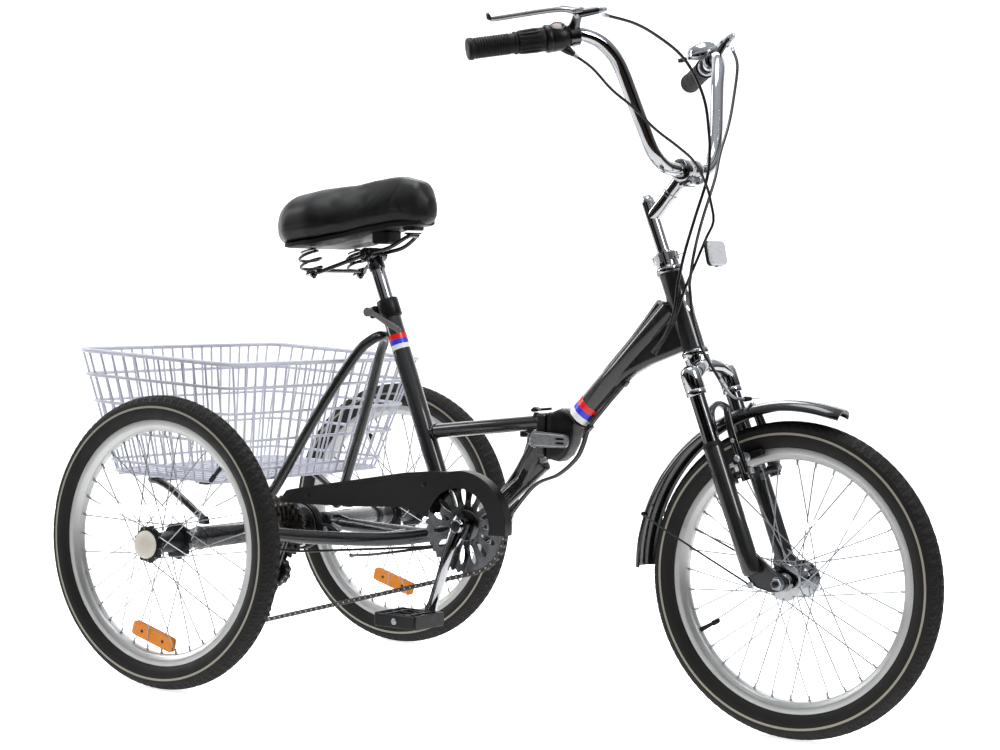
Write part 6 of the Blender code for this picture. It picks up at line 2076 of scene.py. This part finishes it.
def make_derailleur():
    """The derailleur's body and linkage, its sprung cage, and two toothed pulleys."""
    body = Piece("derailleur_body_parts", "rear_frame", gloss_plastic, zinc, satin_enamel)
    guide = at(GUIDE[0], 0, GUIDE[1])
    body.turn([(-0.065, 0.0095), (-0.064, 0.0118), (-0.06, 0.0128), (-0.045, 0.0128),
        (-0.0435, 0.0115)], guide, Y, 36)
    link = rounded([(0.016, 0.16), (0.03, 0.176), (0.052, 0.232), (0.052, 0.244), (0.036, 0.244),
        (0.018, 0.205), (0.0, 0.184)], 0.005, 4)
    body.slab(link, at(0, 0, 0), X, Z, 0.0735, 0.0785, 0.001)
    body.slab(link, at(0, 0, 0), X, Z, 0.0645, 0.0685, 0.001)
    for x, z, r in ((0.044, 0.237, 0.0075), (0.022, 0.19, 0.0055), (0.012, 0.176, 0.0055)):
        body.bar(at(x, -0.0765, z), at(x, -0.066, z), r * 0.8, 20)
        body.use(1)
        body.bolt(at(x, -0.0785, z), -Y, r * 0.75, 0.0022, 6)
        body.use(0)
    body.done("black_plastic", ("derailleur_body",))

    cage = Piece("derailleur_cage_parts", "rear_frame", satin_enamel, moulded_plastic, zinc)
    (gx, gz), (tx, tz) = GUIDE, TENSION
    turn = math.degrees(math.atan2(tz - gz, tx - gx))
    outline = arc(GUIDE, 0.0105, turn + 90, turn + 270, 12) + arc(TENSION, 0.0095, turn - 90, turn + 90, 12)
    middle = ((gx + tx) / 2, (gz + tz) / 2)
    hole = [(middle[0] + 0.01 * math.cos(math.radians(a)) * 0.45,
        middle[1] + 0.02 * math.sin(math.radians(a))) for a in range(0, 360, 20)]
    for y in (COG_Y - 0.0068, COG_Y + 0.0056):
        cage.pierced([outline, hole], at(0, 0, 0), X, Z, -y - 0.0012, -y)
    for x, z in (GUIDE, TENSION):
        cage.use(1)
        pitch = pitch_radius(PULLEY_TEETH)
        loops = [toothed(PULLEY_TEETH, pitch - 0.004, pitch + 0.0005), ring_outline(0.004, 20)]
        cage.pierced(loops, at(x, COG_Y, z), X, Z, -0.0012, 0.0012)
        cage.turn([(-0.0055, 0.006), (-0.0055, 0.0072), (0.0055, 0.0072), (0.0055, 0.006)],
            at(x, COG_Y, z), Y, 24)
        cage.use(2)
        cage.bolt(at(x, COG_Y - 0.0068, z), -Y, 0.0042, 0.0026)
    cage.done("black_plastic", ("derailleur_cage",))


def make_guard():
    """The chain guard: a pressed plate with a folded top edge, open at the chainring."""
    middle = (BRACKET.x - REAR_AXLE.x, BRACKET.z)
    crest = [(0.054, 0.3225), (0.12, 0.3355), (0.18, 0.3465), (0.24, 0.3575), (0.3, 0.3685),
        (0.345, 0.3735)]
    crest += arc(middle, 0.092, 106, -6, 40)
    foot = arc((middle[0] - 0.004, middle[1]), 0.063, -10, 172, 44)
    foot += [(0.3, 0.3105), (0.2, 0.3035), (0.1, 0.2995), (0.036, 0.2985), (0.032, 0.303), (0.046, 0.32)]
    guard = Piece("chain_guard_plate", "rear_frame", satin_enamel, zinc)
    guard.slab(crest + foot, at(0, 0, 0), X, Z, 0.0666, 0.068, 0.0004)
    lip = []
    for x, z in crest:
        out = Vector((0.19, 0, -1)).normalized() if x < 0.34 else Vector((middle[0] - x, 0,
            middle[1] - z)).normalized()
        place = at(x, 0, z)
        lip.append([place + out * d + Y * y for d, y in ((0, -0.0672), (0, -0.047),
            (0.0012, -0.047), (0.0012, -0.0672))])
    guard.skin(lip)
    ridge = [at(x, -0.0682, z - 0.0042) for x, z in crest[:6]]
    guard.tube(curve_through(ridge, 0.01), 0.0012, 8, flat=1.6, upright=Z)
    for x, z in ((0.095, 0.315), (0.345, 0.352)):
        guard.bolt(at(x, -0.0679, z), -Y, 0.0044, 0.002, 24)
    guard.slab(rounded([(-0.008, -0.016), (0.008, -0.016), (0.008, 0.016), (-0.008, 0.016)], 0.003),
        at(0.345, -0.056, 0.345), Y, Z, -0.001, 0.001, 0.0004)
    guard.done("painted_frame", ("chain_guard",))


def make_axle():
    """The driven axle with its brake drum, the band round the drum, and the band's lever."""
    axle = Piece("rear_axle_shaft", "drive_axle", satin_enamel, chrome)
    axle.bar(REAR_AXLE - Y * 0.288, REAR_AXLE + Y * 0.288, 0.009, 36)
    for y in (-0.0865, 0.0865, -0.016, 0.018):
        axle.turn([(-0.0028, 0.0095), (-0.0028, 0.0135), (0.0028, 0.0135), (0.0028, 0.0095)],
            REAR_AXLE + Y * y, Y, 32, loop=True)
    axle.use(1)
    axle.turn([(0.024, 0.0092), (0.024, 0.037), (0.0252, 0.0392), (0.0428, 0.0392), (0.044, 0.037),
        (0.0425, 0.034), (0.036, 0.032), (0.036, 0.0092)], REAR_AXLE, Y, 64, loop=True)
    axle.use(0)
    axle.turn([(0.044, 0.0092), (0.044, 0.015), (0.052, 0.015), (0.053, 0.0135), (0.053, 0.0092)],
        REAR_AXLE, Y, 32, loop=True)
    axle.bolt(REAR_AXLE + Y * 0.048 + Z * 0.0145, Z, 0.0032, 0.003)
    axle.done("steel", ("rear_axle",))

    band = Piece("brake_band_parts", "rear_frame", satin_enamel, zinc, chrome)
    band.turn([(0.0262, 0.0412), (0.0262, 0.0425), (0.0418, 0.0425), (0.0418, 0.0412)], REAR_AXLE,
        Y, 64, loop=True)
    band.turn([(0.03, 0.0424), (0.031, 0.0436), (0.037, 0.0436), (0.038, 0.0424)], REAR_AXLE, Y, 64)
    outline = rounded([(0.0405, 0.2545), (0.0405, 0.2385), (0.094, 0.2245), (0.1, 0.2345),
        (0.062, 0.252)], 0.004)
    band.slab(outline, at(0, 0, 0), X, Z, -0.032, -0.0285, 0.0008)
    band.slab(outline, at(0, 0, 0), X, Z, -0.0395, -0.0365, 0.0008)
    band.use(2)
    band.tube(curve_through([at(0.062, 0.0345, 0.2425), at(0.078, 0.034, 0.236),
        at(0.094, 0.0335, 0.2298)], 0.004), 0.004, 14, flat=0.6, upright=Y)
    band.use(1)
    for x, z in ((0.06, 0.245), (0.091, 0.23)):
        band.bar(at(x, 0.0275, z), at(x, 0.0405, z), 0.0028, 14)
        band.bolt(at(x, 0.0395, z), Y, 0.005, 0.003)
        band.bolt(at(x, 0.0285, z), -Y, 0.005, 0.003)
    coil = []
    for i in range(97):
        a = 2 * math.pi * 8 * i / 96
        coil.append(at(0.07 + 0.02 * i / 96, 0.0345, 0.254 - 0.006 * i / 96) + Y * math.cos(a)
            * 0.003 + Z * math.sin(a) * 0.003)
    band.tube(coil, 0.0006, 6)
    band.done("painted_frame", ("brake_band",))


# ---------------------------------------------------------------- stage


def studio_card():
    """Matt white studio paper, lit through from behind so that it stays white."""
    look, tree, shader = blank("Studio card", colour("ffffff"), 0.95, Specular_IOR_Level=0.05)
    if tree:
        shader.inputs["Emission Color"].default_value = (1, 1, 1, 1)
        shader.inputs["Emission Strength"].default_value = 0.8
    return look


def studio_wall():
    """White studio wall far behind everything, bright enough to stay white from every side."""
    look, tree, shader = blank("Studio wall", colour("ffffff"), 0.95, Specular_IOR_Level=0.0)
    if tree:
        shader.inputs["Emission Color"].default_value = (1, 1, 1, 1)
        shader.inputs["Emission Strength"].default_value = 1.0
    return look


def studio_flag():
    """Black felt flag that gives metal its dark reflections."""
    look, _, _ = blank("Black flag", colour("0b0b0c"), 1.0, Specular_IOR_Level=0.0)
    return look


CAMERA_PLACE = (2.13805, -3.1869, 0.7257)
CAMERA_LENS_MM = 82.94
ROOM_RADIUS = 14.0


def make_stage():
    """White sweep, soft boxes, black flags behind the camera, a dim room, and the camera."""
    azimuth, elevation, roll = 0.600089, 0.048174, 0.022465
    flat = Vector((math.sin(azimuth), -math.cos(azimuth), 0))
    across_it = Z.cross(flat)
    sweep = Piece("studio_sweep", "rear_frame", studio_card)
    line = [(1.3, -0.0012), (-2.6, -0.0012)]
    line += [(-2.6 - 1.6 * math.sin(math.radians(a)),
        1.6 - 1.6 * math.cos(math.radians(a)) - 0.0012) for a in range(10, 91, 10)]
    line += [(-4.2, 5.2)]
    edges = ((-6.0, 0.0), (6.0, 0.0), (6.0, 0.02), (-6.0, 0.02))
    sweep.skin([[flat * (d - t) + across_it * w + Z * (h - t) for w, t in edges] for d, h in line])
    # The paper and the flags light the object.
    # The room is what the camera sees behind it, from every side.
    paper = sweep.done("painted_frame", ride=False, sharp=180)
    paper.visible_camera = False

    floor = Piece("studio_floor", "rear_frame", studio_card)
    floor.turn([(-0.0003, ROOM_RADIUS), (-0.0002, ROOM_RADIUS)], Vector((0, 0, 0)), Z, 72)
    walls = Piece("studio_walls", "rear_frame", studio_wall)
    walls.turn([(-0.3, 13.9), (9.0, 13.9), (12.5, 12.4), (15.0, 8.0)], Vector((0, 0, 0)), Z, 72)
    for room in (floor, walls):
        shown = room.done("painted_frame", ride=False, sharp=180)
        shown.visible_diffuse = False
        shown.visible_glossy = False
        shown.visible_shadow = False

    flags = Piece("studio_flags", "rear_frame", studio_flag)
    for d, w, width, low, high in ((4.9, -0.3, 3.4, 0.0, 2.6), (2.9, 2.6, 1.6, 0.0, 2.4),
            (2.9, -2.6, 1.6, 0.0, 2.4)):
        middle = flat * d + across_it * w
        side = Z.cross(Vector((middle.x, middle.y, 0)).normalized())
        corners = ((-width / 2, low), (width / 2, low), (width / 2, high), (-width / 2, high))
        flags.skin([[middle * k + side * x + Z * z for x, z in corners] for k in (1.0, 1.01)])
    felt = flags.done("painted_frame", ride=False)
    felt.visible_camera = False
    felt.visible_diffuse = False
    felt.visible_shadow = False

    world = bpy.data.worlds.new("Studio")
    bpy.context.scene.world = world
    world.use_nodes = True
    sky = world.node_tree
    place = add(sky, "ShaderNodeTexCoord")
    split = add(sky, "ShaderNodeSeparateXYZ", {}, {"Vector": (place, "Generated")})
    shade = add(sky, "ShaderNodeValToRGB", {}, {"Fac": (split, "Z")})
    shade.color_ramp.elements[0].color = (0.045, 0.034, 0.028, 1)
    shade.color_ramp.elements[1].position = 0.85
    shade.color_ramp.elements[1].color = (0.78, 0.82, 0.88, 1)
    middle = shade.color_ramp.elements.new(0.3)
    middle.color = (0.22, 0.21, 0.21, 1)
    sky.links.new(shade.outputs["Color"], sky.nodes["Background"].inputs["Color"])
    sky.nodes["Background"].inputs["Strength"].default_value = 0.9
    bpy.context.scene.view_settings.view_transform = "Standard"

    for name, place, aim, power, size in (
        ("Key box", (3.2, -0.6, 2.8), (0, 0, 0.5), 56, (1.0, 1.6)),
        ("Top box", (-0.2, -0.2, 3.4), (0, 0, 0.4), 62, (2.4, 1.4)),
        ("Left box", (-3.3, -1.0, 1.9), (0, 0, 0.5), 42, (0.7, 2.2)),
        ("Back box", (-1.2, 2.2, 2.6), (0, 0, 0.6), 22, (1.8, 0.8)),
    ):
        data = bpy.data.lights.new(name, "AREA")
        data.shape = "RECTANGLE"
        data.size, data.size_y = size
        data.energy = power
        lamp = bpy.data.objects.new(name, data)
        bpy.context.scene.collection.objects.link(lamp)
        lamp.location = place
        lamp.rotation_euler = (Vector(aim) - Vector(place)).to_track_quat("-Z", "Y").to_euler()

    back_axis = Vector((math.sin(azimuth) * math.cos(elevation),
        -math.cos(azimuth) * math.cos(elevation), math.sin(elevation)))
    right = (-back_axis).cross(Z).normalized()
    up = right.cross(-back_axis)
    side = right * math.cos(roll) + up * math.sin(roll)
    top = up * math.cos(roll) - right * math.sin(roll)
    data = bpy.data.cameras.new("Camera")
    data.lens = CAMERA_LENS_MM
    data.clip_start, data.clip_end = 0.1, 100
    camera = bpy.data.objects.new("Camera", data)
    bpy.context.scene.collection.objects.link(camera)
    camera.matrix_world = Matrix.Translation(CAMERA_PLACE) @ Matrix((side, top,
        back_axis)).transposed().to_4x4()
    bpy.context.scene.camera = camera


# ---------------------------------------------------------------- operators


class Builds:
    """What every step of the build shares."""

    bl_options = {"REGISTER", "UNDO"}
    steps = ()

    def execute(self, context):
        for step in self.steps:
            step()
        return {"FINISHED"}


class Wheels(Builds, bpy.types.Operator):
    """Tyres, rims, hubs, spokes and wheel reflectors"""

    bl_idname = "tricycle.wheels"
    bl_label = "Wheels"
    steps = (make_wheels,)


class RearFrame(Builds, bpy.types.Operator):
    """Seat tube, stays, lower tubes and axle housings, with their welds"""

    bl_idname = "tricycle.rear_frame"
    bl_label = "Rear frame"
    steps = (make_rear_frame,)


class FrontFrame(Builds, bpy.types.Operator):
    """Main beam and head tube"""

    bl_idname = "tricycle.front_frame"
    bl_label = "Front frame"
    steps = (make_front_frame,)


class Hinge(Builds, bpy.types.Operator):
    """Hinge plates, safety catch and clamp lever"""

    bl_idname = "tricycle.hinge"
    bl_label = "Folding joint"
    steps = (make_hinge, make_latch,)


class Fork(Builds, bpy.types.Operator):
    """Crown, legs, arch and front axle"""

    bl_idname = "tricycle.fork"
    bl_label = "Sprung fork"
    steps = (make_fork, make_mudguard,)


class FrontBrake(Builds, bpy.types.Operator):
    """Brake arms with pads"""

    bl_idname = "tricycle.front_brake"
    bl_label = "Front brake"
    steps = (make_brake_arms,)


class Handlebar(Builds, bpy.types.Operator):
    """Stem and bent bar"""

    bl_idname = "tricycle.handlebar"
    bl_label = "Handlebar"
    steps = (make_stem_and_bar,)


class Controls(Builds, bpy.types.Operator):
    """Grips, gear shifter, brake levers and bell"""

    bl_idname = "tricycle.controls"
    bl_label = "Controls"
    steps = (make_controls,)


class Reflector(Builds, bpy.types.Operator):
    """Clear reflector on its bracket"""

    bl_idname = "tricycle.reflector"
    bl_label = "Front reflector"
    steps = (make_front_reflector,)


class Cables(Builds, bpy.types.Operator):
    """Brake and gear cables"""

    bl_idname = "tricycle.cables"
    bl_label = "Cables"
    steps = (make_cables,)


class Saddle(Builds, bpy.types.Operator):
    """Padded cover, base, rails, springs and seat post"""

    bl_idname = "tricycle.saddle"
    bl_label = "Saddle"
    steps = (make_saddle, make_saddle_frame,)


class SeatClamp(Builds, bpy.types.Operator):
    """Collar and quick-release lever"""

    bl_idname = "tricycle.seat_clamp"
    bl_label = "Seat clamp"
    steps = (make_seat_clamp,)


class Basket(Builds, bpy.types.Operator):
    """Wire basket and its clips"""

    bl_idname = "tricycle.basket"
    bl_label = "Basket"
    steps = (make_basket,)


class Guard(Builds, bpy.types.Operator):
    """Pressed guard beside the chainring"""

    bl_idname = "tricycle.guard"
    bl_label = "Chain guard"
    steps = (make_guard,)


class Drive(Builds, bpy.types.Operator):
    """Chain, chainring, cranks, pedals, sprockets and derailleur"""

    bl_idname = "tricycle.drive"
    bl_label = "Drive"
    steps = (make_chain, make_cranks, make_freewheel, make_derailleur,)


class Axle(Builds, bpy.types.Operator):
    """Driven axle, brake drum and band"""

    bl_idname = "tricycle.axle"
    bl_label = "Rear axle"
    steps = (make_axle,)


class Stage(Builds, bpy.types.Operator):
    """Floor, lights and camera"""

    bl_idname = "tricycle.stage"
    bl_label = "Stage"
    steps = (make_stage,)


STEPS = (Wheels, RearFrame, FrontFrame, Hinge, Fork, FrontBrake, Handlebar, Controls, Reflector,
    Cables, Saddle, SeatClamp, Basket, Guard, Drive, Axle, Stage)


class TRICYCLE_PT_panel(bpy.types.Panel):
    """The build steps, in order, with the settings they read."""

    bl_label = "Tricycle"
    bl_idname = "TRICYCLE_PT_panel"
    bl_space_type = "VIEW_3D"
    bl_region_type = "UI"
    bl_category = "Tricycle"

    def draw(self, context):
        box = self.layout.box()
        for group in (context.scene.tricycle_sizes, context.scene.tricycle_colours):
            for name in group.bl_rna.properties.keys():
                if name not in ("rna_type", "name"):
                    box.prop(group, name)
        for step in STEPS:
            self.layout.operator(step.bl_idname)


CLASSES = (TricycleSizes, TricycleColours, *STEPS, TRICYCLE_PT_panel)


def register():
    for item in CLASSES:
        bpy.utils.register_class(item)
    bpy.types.Scene.tricycle_sizes = bpy.props.PointerProperty(type=TricycleSizes)
    bpy.types.Scene.tricycle_colours = bpy.props.PointerProperty(type=TricycleColours)


def unregister():
    del bpy.types.Scene.tricycle_colours
    del bpy.types.Scene.tricycle_sizes
    for item in reversed(CLASSES):
        bpy.utils.unregister_class(item)


def main():
    register()
    for step in STEPS:
        getattr(bpy.ops.tricycle, step.bl_idname.split(".")[1])()


if __name__ == "__main__":
    main()
